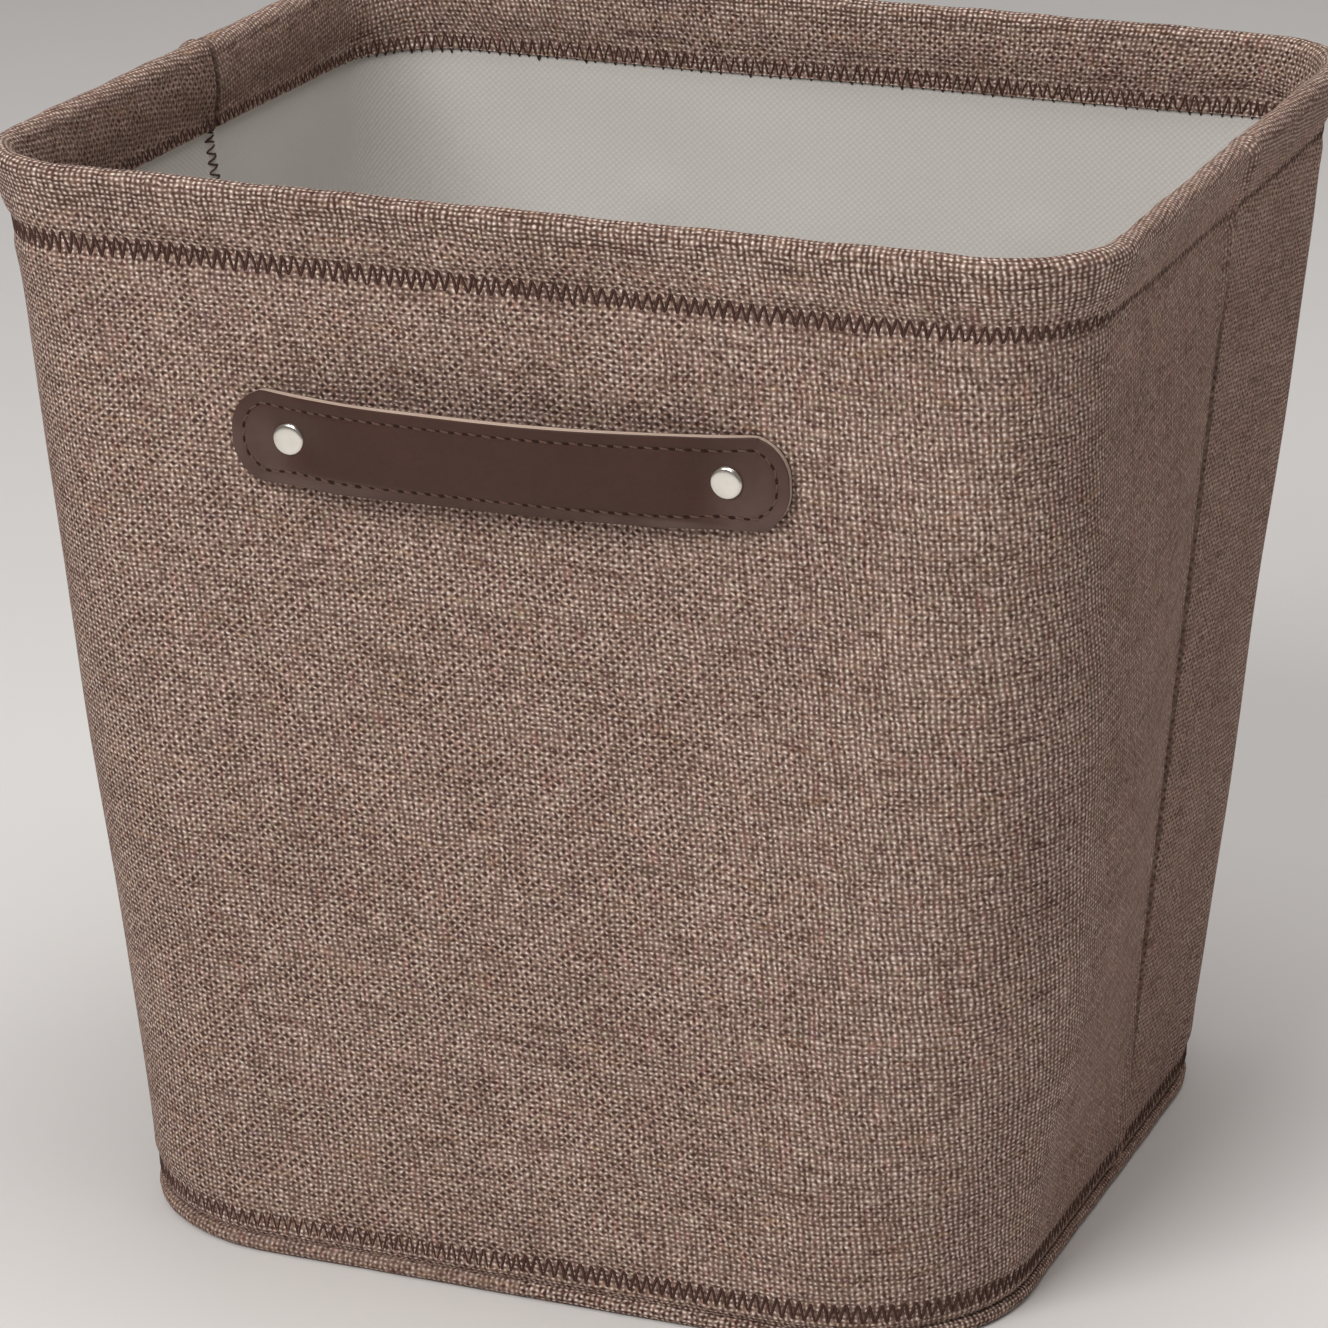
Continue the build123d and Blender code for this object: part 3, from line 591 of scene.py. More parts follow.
# ------------------------------------------------------------------ materials
def weave_material(name, warp=1.75, weft=1.54, seed=0.0, skew=0.08, open_=1.0, shade=1.0):
    """Coarse melange plain weave: a grid of rounded light grains of beige, rose and grey yarn. Between them the gaps
    are half dark, and every second corner is a dark dot. The gaps open where the cloth goes over the rim. Painted
    shade:
    towards the sides the colour is darker and redder, and a shade below 1 darkens the whole cloth."""
    m = Material(name, Roughness=0.92, Sheen_Weight=0.05, Sheen_Roughness=0.5, Sheen_Tint=(0.9, 0.74, 0.68, 1.0))
    m.shader.inputs["Specular IOR Level"].default_value = 0.06
    u, v = m.uv()
    here, there = m.vec(u, v, seed), m.vec(v + 3.7, u, seed + 1.3)
    p = (u + v * skew) / (warp * MM) + (m.noise(here, 55.0, 2.0) - 0.5) * 1.3 + (m.noise(here, 380.0, 1.0) - 0.5) * 0.75
    q = v / (weft * MM) + (m.noise(there, 60.0, 2.0) - 0.5) * 1.2 + (m.noise(there, 380.0, 1.0) - 0.5) * 0.75
    i, j = p.floor(), q.floor()
    gi, gj = (p + 0.5).floor(), (q + 0.5).floor()  # nearest gap across and along
    over = ((i + j) * 0.5).frac().above(0.25)  # 1 where the weft lies on top
    gx, gy = (p * 6.283185).cos() * 0.5 + 0.5, (q * 6.283185).cos() * 0.5 + 0.5  # 0 in the middle of a grain, 1 in a gap
    knot = (p * 3.141593).cos() * (q * 3.141593).cos()  # changes sign from corner to corner
    cell = m.white(m.vec(i, j), "2D")
    cell2 = m.white(m.vec(i + 31.0, j + 17.0), "2D")
    rough = m.noise(here, 800.0, 2.0, 0.6)
    side = u.abs().smooth(0.155, 0.215)
    up = v + u * u * 0.233  # height along the wall: the cut cloth is a fan
    roll = up.smooth(0.331, 0.338) * (1.0 - up.smooth(0.352, 0.36))
    right = u.smooth(0.03, 0.12)
    # longer dark gaps along a row or a column
    long_h = m.noise(m.vec(u * 85.0, gj * 9.7, seed + 7.0), 1.0, 1.0).smooth(0.54, 0.72)
    long_v = m.noise(m.vec(gi * 11.9, v * 130.0, seed + 9.0), 1.0, 1.0).smooth(0.54, 0.72)
    # each gap is more or less open
    gap_x = (m.white(m.vec(gi + 5.0, j + 71.0), "2D") * 0.42 + right * 0.08 + long_v * 0.32 + 0.6).min(1.0)
    gap_y = (m.white(m.vec(i + 47.0, gj + 13.0), "2D") * 0.42 - right * 0.16 + long_h * 0.34 + 0.61).min(1.0)
    depth = m.noise(m.vec(u, v * 1.3, seed + 21.0), 170.0, 2.0).smooth(0.25, 0.75, 0.75, 1.2) * open_
    depth = depth * (roll * 0.35 - side * 0.42 + 1.0)
    check = m.noise(m.vec(u * 1.2, v, seed + 23.0), 110.0, 2.0).smooth(0.3, 0.7, 0.25, 1.2) * (1.0 - roll * 0.8) * (1.0 - right * 0.5)
    grain = (((1.0 - gx * gap_x) * (1.0 - gy * gap_y)).pow(1.3) - 0.27) * 3.3 * depth + knot * check * 0.85 + (rough - 0.5) * 2.2
    # yarn colours
    run_w = m.noise(m.vec(i * 7.31, v * 95.0, seed + 2.0), 1.0, 2.0)
    run_f = m.noise(m.vec(u * 80.0, j * 5.17, seed + 4.0), 1.0, 2.0)
    run = run_w + (run_f - run_w) * over
    wide = m.noise(m.vec(u * 0.7, v, seed + 11.0), 34.0, 3.0, 0.6)
    slub = m.noise(m.vec(u * 48.0, j * 8.3, seed + 13.0), 1.0, 2.0, 0.6).smooth(0.54, 0.74)
    stripe = m.noise(m.vec(i * 8.9, v * 52.0, seed + 15.0), 1.0, 2.0, 0.6).smooth(0.56, 0.76)
    tone = (run * 1.0 + cell * 0.45 + wide * 0.5 - slub * 0.42 - stripe * 0.24 - 0.41).clamp()
    mid = m.mix(tone, rgb(113, 88, 78), rgb(176, 150, 137))
    peak = m.mix(tone, rgb(184, 160, 149), rgb(252, 240, 230))
    tint = m.noise(m.vec(u * 70.0, j * 6.1, seed + 17.0), 1.0, 1.0)
    tint2 = m.noise(m.vec(i * 5.3, v * 90.0, seed + 19.0), 1.0, 1.0)
    mid = m.mix(tint.smooth(0.56, 0.76) * 0.4, mid, rgb(172, 138, 104))
    mid = m.mix(tint2.smooth(0.56, 0.76) * 0.45, mid, rgb(172, 122, 112))
    mid = m.mix((1.0 - tint).smooth(0.6, 0.8) * 0.4, mid, rgb(112, 88, 98))
    mid = m.mix(cell2.smooth(0.9, 1.0) * 0.35, mid, rgb(148, 146, 114))
    dark = m.mix(wide, rgb(54, 36, 32), rgb(84, 61, 53))
    colour = m.mix(grain.smooth(-1.7, 0.6), dark, mid)
    colour = m.mix(grain.smooth(0.2, 2.4), colour, peak)
    # painted shade: on the sides, the wall below the hem and the cloth inside the rim are darkened towards a dark red
    painted_side_shade = (1.0 - up.smooth(0.29, 0.325)) * 0.13 + up.smooth(0.353, 0.36) * 0.2
    colour = m.mix(side * painted_side_shade, colour, rgb(66, 36, 31))
    # painted shade: a shade below 1 darkens the cloth towards dark brown, for the strips along the side seams
    if shade < 1.0:
        colour = m.mix(1.0 - shade, colour, rgb(34, 22, 19))
    m.set("Base Color", colour)
    m.set("Roughness", grain * -0.02 + 0.92)
    fuzz = m.noise(here, 2600.0, 2.0, 0.6)
    m.bump(grain * 0.27 + fuzz * 0.2, 0.0004)
    return m.mat


def lining_material():
    """Pale lining cloth with fine diagonal rows of dots pressed into it."""
    m = Material("lining_cloth", Roughness=0.7, Sheen_Weight=0.1, Sheen_Roughness=0.5)
    m.shader.inputs["Specular IOR Level"].default_value = 0.3
    u, v = m.uv()
    here = m.vec(u, v)
    warp = (m.noise(here, 40.0, 2.0) - 0.5) * 0.5
    pitch = 2.27 * MM
    ca = (((u + v * 1.07) / pitch + warp) * 6.283185).cos()
    cb = (((u - v * 1.07) / pitch + warp) * 6.283185).cos()
    ridge = ca * 0.3 + cb * 0.22 + ca * cb * 0.1 + 0.5
    speck = m.noise(here, 1500.0, 2.0)
    broad = m.noise(here, 9.0, 3.0)
    colour = m.mix(broad, rgb(198, 195, 190), rgb(216, 214, 210))
    colour = m.mix((1.0 - ridge).clamp() * 0.2, colour, rgb(150, 146, 141))
    colour = m.mix(speck.smooth(0.55, 0.8) * 0.18, colour, rgb(150, 141, 132))
    m.set("Base Color", colour)
    m.set("Roughness", ridge * -0.1 + speck * 0.12 + 0.66)
    m.bump(ridge * 0.8 + speck * 0.2, 0.0001)
    return m.mat


def thread_material(name, dark, light, rough=0.55):
    """Twisted sewing thread."""
    m = Material(name, Roughness=rough, Sheen_Weight=0.04, Sheen_Roughness=0.4)
    m.shader.inputs["Specular IOR Level"].default_value = 0.16
    u, v = m.uv()
    ply = ((u / (0.62 * MM) + v * 500.0 * 1.0) * 6.28318).sin() * 0.5 + 0.5
    hair = m.noise(m.vec(u * 300.0, v * 2500.0), 3.0, 2.0)
    run = m.noise(m.vec(u * 30.0, 0.0), 2.0, 2.0)
    colour = m.mix((ply * 0.55 + hair * 0.5 + run * 0.35 - 0.3).clamp(), dark, light)
    m.set("Base Color", colour)
    m.set("Roughness", hair * 0.3 + (rough - 0.12))
    m.bump(ply + hair * 0.5, 0.00012)
    return m.mat


def leather_material(name, dark, light, grain=1.0, rough=0.42):
    """Coated leather: fine pebble grain and a few creases, with painted shade along the creases. At the ends and along
    the lower margin the specular is raised and the colour lightened: painted sheen.
    """
    m = Material(name, Roughness=rough)
    x, y, z = m.place()
    here = m.vec(x, y, z)
    # where the leather shines: at the ends and along the lower margin
    low = (RIVET_Z * MM + 0.001 - z).smooth(0.0098, 0.0118) * x.abs().smooth(0.01, 0.06, 0.25, 1.0)
    ends = x.abs().smooth(0.058, 0.074) * ((RIVET_Z * MM - z).smooth(-0.012, 0.006, 0.35, 1.0))
    sheen_mask = (low.max(ends) * m.noise(here, 95.0, 2.0).smooth(0.2, 0.7, 0.5, 1.1)).clamp()
    m.set("Specular IOR Level", sheen_mask * 0.25 + 0.2)
    pebble = m.cells(here, 1500.0)
    pore = m.noise(here, 2400.0, 3.0, 0.6)
    crease = m.noise(m.vec(x * 0.6, y, z), 260.0, 4.0, 0.62, twist=0.6)
    line = (crease - 0.5).abs().smooth(0.0, 0.05)
    wide = m.noise(here, 42.0, 3.0, 0.6)
    tone = (wide * 0.9 + pore * 0.4 - 0.15).clamp()
    colour = m.mix(tone, dark, light)
    # painted shade: the colour is darkened along the creases
    colour = m.mix((1.0 - line) * 0.14, colour, tuple(c * 0.5 for c in dark))
    # painted sheen: the colour is lightened towards a grey-purple where the leather shines
    colour = m.mix(sheen_mask * 0.55, colour, rgb(92, 68, 62))
    m.set("Base Color", colour)
    m.set("Roughness", wide * 0.16 + pore * 0.14 + (rough - 0.12))
    m.bump(pebble * (-0.5 * grain) + line * 0.18 * grain + pore * 0.35, 0.00008)
    return m.mat


def raw_edge_material():
    """Cut edge of the strap's pale core: fibres in thin layers."""
    m = Material("strap_core_edge", Roughness=0.9)
    x, y, z = m.place()
    layer = m.noise(m.vec(x * 60.0, y * 2200.0, z * 2200.0), 1.0, 2.0)
    fibre = m.noise(m.vec(x, y, z), 1700.0, 3.0, 0.65)
    colour = m.mix((layer * 0.6 + fibre * 0.6 - 0.1).clamp(), rgb(158, 132, 118), rgb(222, 204, 188))
    m.set("Base Color", colour)
    m.set("Roughness", fibre * 0.2 + 0.75)
    m.bump(fibre + layer * 0.5, 0.00015)
    return m.mat


def nickel_material():
    """Polished nickel with faint turning marks and rub marks."""
    m = Material("polished_nickel", Metallic=1.0, Roughness=0.16)
    x, y, z = m.place()
    here = m.vec(x, y, z)
    rub = m.noise(m.vec(x * 1.0, y, z * 6.0), 700.0, 3.0, 0.7)
    haze = m.noise(here, 220.0, 2.0)
    m.set("Base Color", m.mix(haze, rgb(206, 200, 190), rgb(232, 228, 220)))
    m.set("Roughness", rub * 0.12 + haze * 0.1 + 0.08)
    m.bump(rub, 0.00002, 0.5)
    return m.mat


def wire_material(name, base, rough):
    """Drawn metal with lines along it."""
    m = Material(name, Metallic=1.0, Roughness=rough)
    x, y, z = m.place()
    draw = m.noise(m.vec(x * 40.0, y * 40.0, z * 2600.0), 1.0, 3.0, 0.6)
    spot = m.noise(m.vec(x, y, z), 160.0, 3.0)
    m.set("Base Color", m.mix((spot * 0.7 + draw * 0.4 - 0.05).clamp(), tuple(c * 0.6 for c in base), base))
    m.set("Roughness", draw * 0.25 + rough - 0.1)
    m.bump(draw, 0.00003)
    return m.mat


def board_material():
    """Pressed fibreboard: tangled fibres and darker chips."""
    m = Material("pressed_fibreboard", Roughness=0.85)
    x, y, z = m.place()
    here = m.vec(x, y, z)
    fibre = m.noise(m.vec(x * 1.0, y * 0.35, z), 900.0, 4.0, 0.65, twist=1.5)
    fleck = m.cells(m.vec(x * 0.6, y, z), 420.0)
    wide = m.noise(here, 24.0, 3.0)
    colour = m.mix((fibre * 0.8 + wide * 0.4 - 0.1).clamp(), rgb(104, 76, 54), rgb(170, 134, 98))
    colour = m.mix((1.0 - fleck).smooth(0.72, 0.95) * 0.35, colour, rgb(70, 48, 34))
    m.set("Base Color", colour)
    m.set("Roughness", fibre * 0.2 + 0.7)
    m.bump(fibre + fleck * 0.3, 0.00012)
    return m.mat


def floor_material():
    m = Material("pale_floor", Roughness=0.6)
    x, y, z = m.place()
    n = m.noise(m.vec(x, y, z), 3.0, 3.0)
    m.set("Base Color", m.mix(n, (0.78, 0.775, 0.765), (0.82, 0.815, 0.805)))
    m.set("Roughness", n * 0.1 + 0.55)
    return m.mat


WEAVE = weave_material("melange_weave")
WEAVE_BACK = weave_material("melange_weave_back", seed=40.0)
# darker copies of the weave for the side seams: painted shade on the front's turned edge and in the back's groove
# behind it
WEAVE_SEAM_SHADE = weave_material("melange_turned_edge_painted_shade", shade=0.5)
WEAVE_BACK_SEAM_SHADE = weave_material("melange_under_edge_painted_shade", seed=40.0, open_=0.4, shade=0.62)
BINDING = weave_material("melange_binding", warp=1.75, weft=1.5, seed=80.0, skew=0.0, open_=1.4)
LINING = lining_material()
THREAD = thread_material("brown_thread", rgb(58, 36, 31), rgb(98, 69, 60), 0.65)
STRAP_THREAD = thread_material("strap_thread", rgb(72, 50, 43), rgb(128, 101, 91), 0.5)
# the needle holes are dark slots: painted shade inside the holes
HOLE_SHADE = thread_material("needle_hole_painted_shade", rgb(40, 23, 19), rgb(54, 34, 29), 0.85)
LEATHER = leather_material("strap_leather", rgb(61, 39, 32), rgb(75, 51, 43))
BACKING = leather_material("strap_backing", rgb(66, 47, 42), rgb(92, 68, 61), 0.6, 0.6)
CORE = raw_edge_material()
NICKEL = nickel_material()
WIRE = wire_material("spring_wire", (0.5, 0.5, 0.51), 0.35)
FERRULE = wire_material("ferrule_metal", (0.68, 0.68, 0.69), 0.4)
BOARD = board_material()


# ------------------------------------------------------------------ walls
def half_columns(front, per=3.2):
    """Fractions along the straight, the corner and the side, from the middle of a half to its side seam."""
    a, b, r = section(HEIGHT)
    n1, n2 = int((a - r) / per), int(np.pi * 60 / 2 / per)
    n3 = int(((b - r) + (SEAM_Y if front else -SEAM_Y)) / per)
    st = [(0, k / n1) for k in range(n1)] + [(1, k / n2) for k in range(n2)] + [(2, k / n3) for k in range(n3)]
    return st


def half_arc(z, stations, front, lap, ends):
    """Signed length from the middle of a half for each column (first axis) at each height (second axis).
    ends are the last columns' distances from the edge, and lap is how far the edge lies past the seam."""
    a, b, r = section(z)
    q = np.pi * r / 2
    side = (b - r) + (SEAM_Y if front else -SEAM_Y) + lap
    cut = max(ends)
    out = []
    for k, f in stations:
        if k == 0:
            out.append((a - r) * f)
        elif k == 1:
            out.append((a - r) + q * f)
        else:
            out.append((a - r) + q + (side - cut) * f)
    for e in ends:
        out.append((a - r) + q + side - e)
    pos = np.stack(np.broadcast_arrays(*out), 0)
    return np.concatenate([-pos[:0:-1], pos], 0)


def wall_grid(rows, half, lap, ends, extra=0.0, shift=True):
    """Grid of points of one half of the wall along a profile of (height, distance out)."""
    front = half == "front"
    z = np.array([r[0] for r in rows])
    n = np.array([r[1] for r in rows]) + extra
    st = half_columns(front)
    s = half_arc(z, st, front, lap, ends)
    zz = np.broadcast_to(z, s.shape).copy()
    a, b, r = section(z)
    whole = perimeter(a, b, r)
    loop_s = s if front else s + whole / 2
    x, y, nx, ny = around(a, b, r, loop_s)
    # the sewn row of the hem isn't quite level
    if shift:
        lift = hem_shift(s if front else -s) * step(zz, 300, 314) * (1 - step(zz, 324, 333))
        zz = zz + lift
    p = np.stack([x + nx * n, y + ny * n, zz], -1)
    return p, s, z


def profile_length(rows):
    z, n = (np.array(v) for v in zip(*rows))
    return np.concatenate([[0], np.cumsum(np.hypot(np.diff(z), np.diff(n)))])


def third_point(a, b, da, db, side):
    """Point at distances da and db from a and b, to the right of the line from a to b when side is 1."""
    e = (b - a) / np.linalg.norm(b - a)
    x = (da**2 - db**2 + np.dot(b - a, b - a)) / (2 * np.linalg.norm(b - a))
    return a + x * e + side * math.sqrt(max(da**2 - x**2, 0.0)) * np.array([e[1], -e[0]])


def flat_pattern(half, lap, ends, length):
    """Place of each point of a half on its cut pattern: the wall is made of planes and cones, so it unrolls flat.
    length is how far each row lies up the wall from z = 0."""
    p = wall_grid([(0.0, 0.0), (HEIGHT, 0.0)], half, lap, ends, shift=False)[0]
    n = len(p)
    mid = n // 2
    far = lambda a, b: float(np.linalg.norm(a - b))
    flat = np.zeros((n, 2, 2))
    flat[mid, 1] = 0, far(p[mid, 0], p[mid, 1])
    for side, order in ((1, range(mid, n - 1)), (-1, range(mid, 0, -1))):
        for k in order:
            m = k + side
            flat[m, 0] = third_point(flat[k, 0], flat[k, 1], far(p[m, 0], p[k, 0]), far(p[m, 0], p[k, 1]), side)
            flat[m, 1] = third_point(flat[m, 0], flat[k, 1], far(p[m, 1], p[m, 0]), far(p[m, 1], p[k, 1]), side)
    t = np.asarray(length, float) / HEIGHT
    return flat[:, None, 0] + (flat[:, None, 1] - flat[:, None, 0]) * t[None, :, None]


SEAM_ENDS = {
    "front": [14.0, 12.0, 10.0, 8.5, 7.2, 6.1, 5.1, 4.2, 3.3, 2.5, 1.8, 1.2, 0.7, 0.35, 0.12, 0.0],
    "back": [18.0, 16.0, 14.6, 13.5, 12.7, 12.1, 11.6, 11.1, 10.6, 10.1, 9.6, 9.0, 8.0, 6.5, 5.0, 3.4, 1.8, 0.6, 0.0],
}
PROFILE = OUTSIDE + ROLL + INSIDE


def seam_ridge(s, z, edge):
    """Soft fold along the front's edge, thickest near the rim."""
    return np.where(s > 0, 0.6, 0.4) * np.exp(-(((edge - 4.4) / 3.4) ** 2)) * step(z, 230, 320)


def fabric(half):
    """Outer fabric of one half: up the outside, over the rim wire and down the inside to its raw edge."""
    front = half == "front"
    lap = 2.6 if front else -2.0
    if not front:
        lap = 7.0
    p, s, z = wall_grid(PROFILE, half, lap, SEAM_ENDS[half])
    nrm = grid_normals(p)
    n_out = len(OUTSIDE)
    outside = np.zeros(len(PROFILE))
    outside[:n_out] = 1
    outside[n_out:n_out + len(ROLL)] = np.linspace(1, 0, len(ROLL))
    d = swell(s, p[:, :, 2], half) * outside
    on_roll = np.zeros(len(PROFILE))
    on_roll[n_out - 6:n_out + len(ROLL)] = 1
    d = d + on_roll * (0.16 * np.sin(s * 0.11 + 0.8) + 0.1 * np.sin(s * 0.29 + 2.0))
    inside = np.zeros(len(PROFILE))
    inside[n_out + len(ROLL):] = 1
    d = d + inside * (0.28 * np.sin(s * 0.055 + 0.3) + 0.14 * np.sin(s * 0.16 + 1.0)) * np.clip((z - 318) / 6, 0, 1)
    edge = np.minimum(s.max(0) - s, s - s.min(0))
    thick = np.full(s.shape, 1.0)
    faces_out = np.concatenate([np.ones(n_out), np.clip(np.cos(np.radians(np.linspace(-14, 188, len(ROLL)))), 0, 1), np.zeros(len(INSIDE))])
    over_wire = np.clip(on_roll, 0, 1) * (1 - faces_out)
    if front:
        # the edge is turned under and lies on the back half
        lift = (0.2 + 1.0 * faces_out + 0.5 * over_wire) * step(9.5 - edge, 0, 8.0)
        lump = np.where(s > 0, 0.8, 0.3) * step(11 - edge, 0, 7) * np.clip(on_roll, 0, 1) * faces_out
        round_off = 0.55 * (1 - np.sqrt(np.clip(1 - (1 - np.clip(edge / 0.9, 0, 1)) ** 2, 0, 1)))
        d = d + lift + lump - round_off + seam_ridge(s, z, edge) * faces_out
        thick = thick + 0.25 * step(6.0 - edge, 0, 3.0) - 0.25 * (1 - np.clip(edge / 0.9, 0, 1))
    else:
        dip = (0.12 + 1.5 * (1 - faces_out)) * step(13.0 - edge, 0, 4)
        dip = dip + (0.45 * faces_out + 0.7 * (1 - faces_out)) * np.exp(-(((edge - 10.4) / 1.5) ** 2))
        d = d - np.minimum(dip, 0.6 + 1.8 * step(336.5 - z, 0, 5))  # the wire's sleeve holds it up
    outer = p + nrm * d[:, :, None]
    inner = outer - nrm * thick[:, :, None]
    uv = flat_pattern(half, lap, SEAM_ENDS[half], PROFILE[0][0] + profile_length(PROFILE))
    # strips on the front's turned edge and in the back's groove behind it take the darker weave: painted shade of the
    # seam
    between = (edge[1:, 0] + edge[:-1, 0]) / 2
    line = (between < 0.75) if front else (between > 8.2) & (between < 13.2)
    return closed_sheet(f"{half}_fabric", outer, inner, uv, [WEAVE, WEAVE_SEAM_SHADE] if front else [WEAVE_BACK, WEAVE_BACK_SEAM_SHADE], pick=line.astype(int))


def lining(half):
    """Lining of one half, bonded to the fabric's inner side and laid over the foot's roll."""
    front = half == "front"
    foot = [
        (2.6 + k * math.sin(math.radians(t)), -1.35 + k * math.cos(math.radians(t)))
        for t, k in ((205, 2.6), (190, 2.6), (175, 2.6), (160, 2.65), (145, 2.8), (130, 3.05), (115, 3.3), (102, 3.5))
    ]
    rows = foot + [(6.7, -1.6), (7.7, -1.28), (9.2, -1.15), (12.0, -1.15)] + [(z, -1.15) for z in np.linspace(17, 312, 100)] + [(317, -1.3), (322, -1.35), (328, -1.2), (333, -1.1)]
    lap, ends = 2.2 if front else 0.3, [8, 6, 4, 2.5, 1.2, 0.5, 0.0]
    p, s, z = wall_grid(rows, half, lap, ends, shift=False)
    nrm = grid_normals(p)
    k = 0.4 if front else 1.9
    d = swell(s, p[:, :, 2], half) * (1 - step(p[:, :, 2], 300, 312))
    outer = p + nrm * d[:, :, None]
    soft = 0.22 * np.sin(s * 0.035 + z * 0.02 + k) * np.sin(z * 0.03 + k) * step(z, 20, 50) * (1 - step(z, 280, 310))
    for cs, cz, size, deep in ((-62, 214, 26, 0.5), (48, 160, 34, -0.45), (96, 236, 22, 0.45), (-104, 120, 30, 0.5), (10, 268, 20, 0.3)):
        soft = soft + deep * np.exp(-(((s - cs) / size) ** 2 + ((z - cz) / (size * 0.7)) ** 2))
    edge = np.minimum(s.max(0) - s, s - s.min(0))
    fold = (0.5 if front else 0.0) * step(5 - edge, 0, 3)
    th = 0.6 + np.clip(soft, -0.2, 0.8) + fold
    mid, high, turn = HANDLE[half]
    for rx in (-RIVET_X, RIVET_X):
        far = np.hypot(s - mid - rx * math.cos(turn), p[:, :, 2] - high - rx * math.sin(turn))
        th = th + 0.3 * (1 - step(far, 2.0, 14.0))  # the rivets' inner caps lie under the lining
    inner = outer - nrm * th[:, :, None]
    uv = flat_pattern(half, lap, ends, rows[0][0] + profile_length(rows)) + np.array([0 if front else 700.0, 0.0])
    ob = closed_sheet(f"{half}_lining_cloth", outer, inner, uv, [LINING])
    return ob


sheets = {}
for half in ("front", "back"):
    cloth = fabric(half)
    fold_with_rim(cloth)
    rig.replaces(cloth, f"{half}_panel", f"{half}_hem")
    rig.slot(cloth, "melange_fabric")
    sheets[half] = cloth
    liner = lining(half)
    fold_with_rim(liner)
    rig.replaces(liner, f"{half}_lining")
    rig.slot(liner, "pale_lining")
    sheets[half + "_lining"] = liner


# ------------------------------------------------------------------ zigzag rows
def zigzag(name, where, length, pitch, low, high, radius, seed, mats=None, wander=1.0, closed=True, points=9, out=0.0, height=lambda s: 1.0, sunk=lambda s: 0.0 * s, drop=lambda s: 0.0):
    """A row of zigzag stitches. where(s, z) gives points and outward normals of the cloth. height(s) is the share of
    the row's full height, sunk(s) how deep the thread is drawn into the cloth, drop(s) how far the row runs lower."""
    rng = np.random.default_rng(seed)
    n = int(round(length / (pitch / 2)))
    n += n % 2 if closed else 0
    half = length / n
    k = np.arange(n + 1)
    s = k * half + rng.normal(0, 0.13 * wander, n + 1) + 0.25 * wander * np.sin(k * 0.09)
    up = k % 2 == 1
    mid = (low + high) / 2
    tall = (high - low) / 2 * height(s) + rng.normal(0, 0.16 * wander, n + 1)
    z = mid - drop(s) + np.where(up, 1, -1) * tall + 0.22 * wander * np.sin(k * 0.021 + 1.0)
    if closed:
        s[-1], z[-1] = s[0] + length, z[0]
    t = np.linspace(0, 1, points)[None, :]
    s0, s1, z0, z1 = s[:-1, None], s[1:, None], z[:-1, None], z[1:, None]
    belly = rng.normal(0, 0.16 * wander, (n, 1)) * np.sin(np.pi * t)
    ss = s0 + (s1 - s0) * t + belly
    zz = z0 + (z1 - z0) * t
    p, nrm = where(ss, zz)
    deep = sunk((s0 + s1) / 2)
    lift = radius * (-1.25 + 1.45 * np.sin(np.pi * t) ** 0.42) + out - deep
    p = p + nrm * lift[:, :, None]
    rad = radius * (0.62 + 0.4 * np.sin(np.pi * t) ** 0.5) * (1 + rng.normal(0, 0.05, (n, 1))) * (1 - 0.8 * deep)
    return tubes(name, p, nrm, rad, mats or [THREAD], sides=7)


def loop_where(n_of, shift=None):
    """Points on the whole wall at distance n_of(s, z, half) from its plain face."""

    def where(s, z):
        a, b, r = section(z)
        whole = perimeter(a, b, r)
        base = perimeter(*section((HEM_Z0 + HEM_Z1) / 2 if shift else 12.0))
        ls = s / base * whole
        m = np.mod(ls, whole)
        sf = np.where(m > whole / 2, m - whole, m)
        is_front = np.abs(sf) <= seam_at(z, True)
        sb = m - whole / 2
        x, y, nx, ny = around(a, b, r, ls)
        n = np.where(is_front, n_of(sf, z, "front"), n_of(sb, z, "back"))
        lift = np.where(is_front, hem_shift(sf), hem_shift(-sb)) if shift else 0.0
        return np.stack([x + nx * n, y + ny * n, z + lift], -1), np.stack([nx, ny, np.zeros_like(nx)], -1)

    return where


def hem_face(s, z, half):
    n = out_n(z) + swell(s, z, half)
    if half == "front":
        edge = seam_at(z, True) + 2.6 - np.abs(s)
        n = n + 1.2 * step(9.5 - edge, 0, 8.0) + seam_ridge(s, z, edge)
    return n


def hem_back(s, z, half):
    n = in_n(np.clip(z, 315.8, 337)) + np.where(z < 315.8, 0.9, 0.0)
    if half == "front":
        edge = seam_at(z, True) + 2.6 - np.abs(s)
        n = n - 1.25 * step(8.5 - edge, 0, 6.2)
    return n


hem_length = perimeter(*section((HEM_Z0 + HEM_Z1) / 2))


def from_middle(s):
    """Distance along a row from the middle of the front, and from the middle of the front or the back."""
    sf = np.mod(s + hem_length / 2, hem_length) - hem_length / 2
    return sf, np.abs(np.mod(s + hem_length / 4, hem_length / 2) - hem_length / 4)


def lower_at_sides(s):
    """The rows are pulled lower where they go round the sides."""
    return 1 - 0.36 * step(from_middle(s)[1], 150.0, 215.0)


def hem_height(s):
    """The front's row gets lower from left to right."""
    sf = from_middle(s)[0]
    return lower_at_sides(s) * np.where(np.abs(sf) < hem_length / 4, 1.1 - 0.16 * np.clip(sf / 140.0, -1, 1), 1.0)


def drawn_in(s):
    """At the sides the thread lies deeper in the cloth."""
    return 0.24 * step(from_middle(s)[1], 140.0, 205.0)


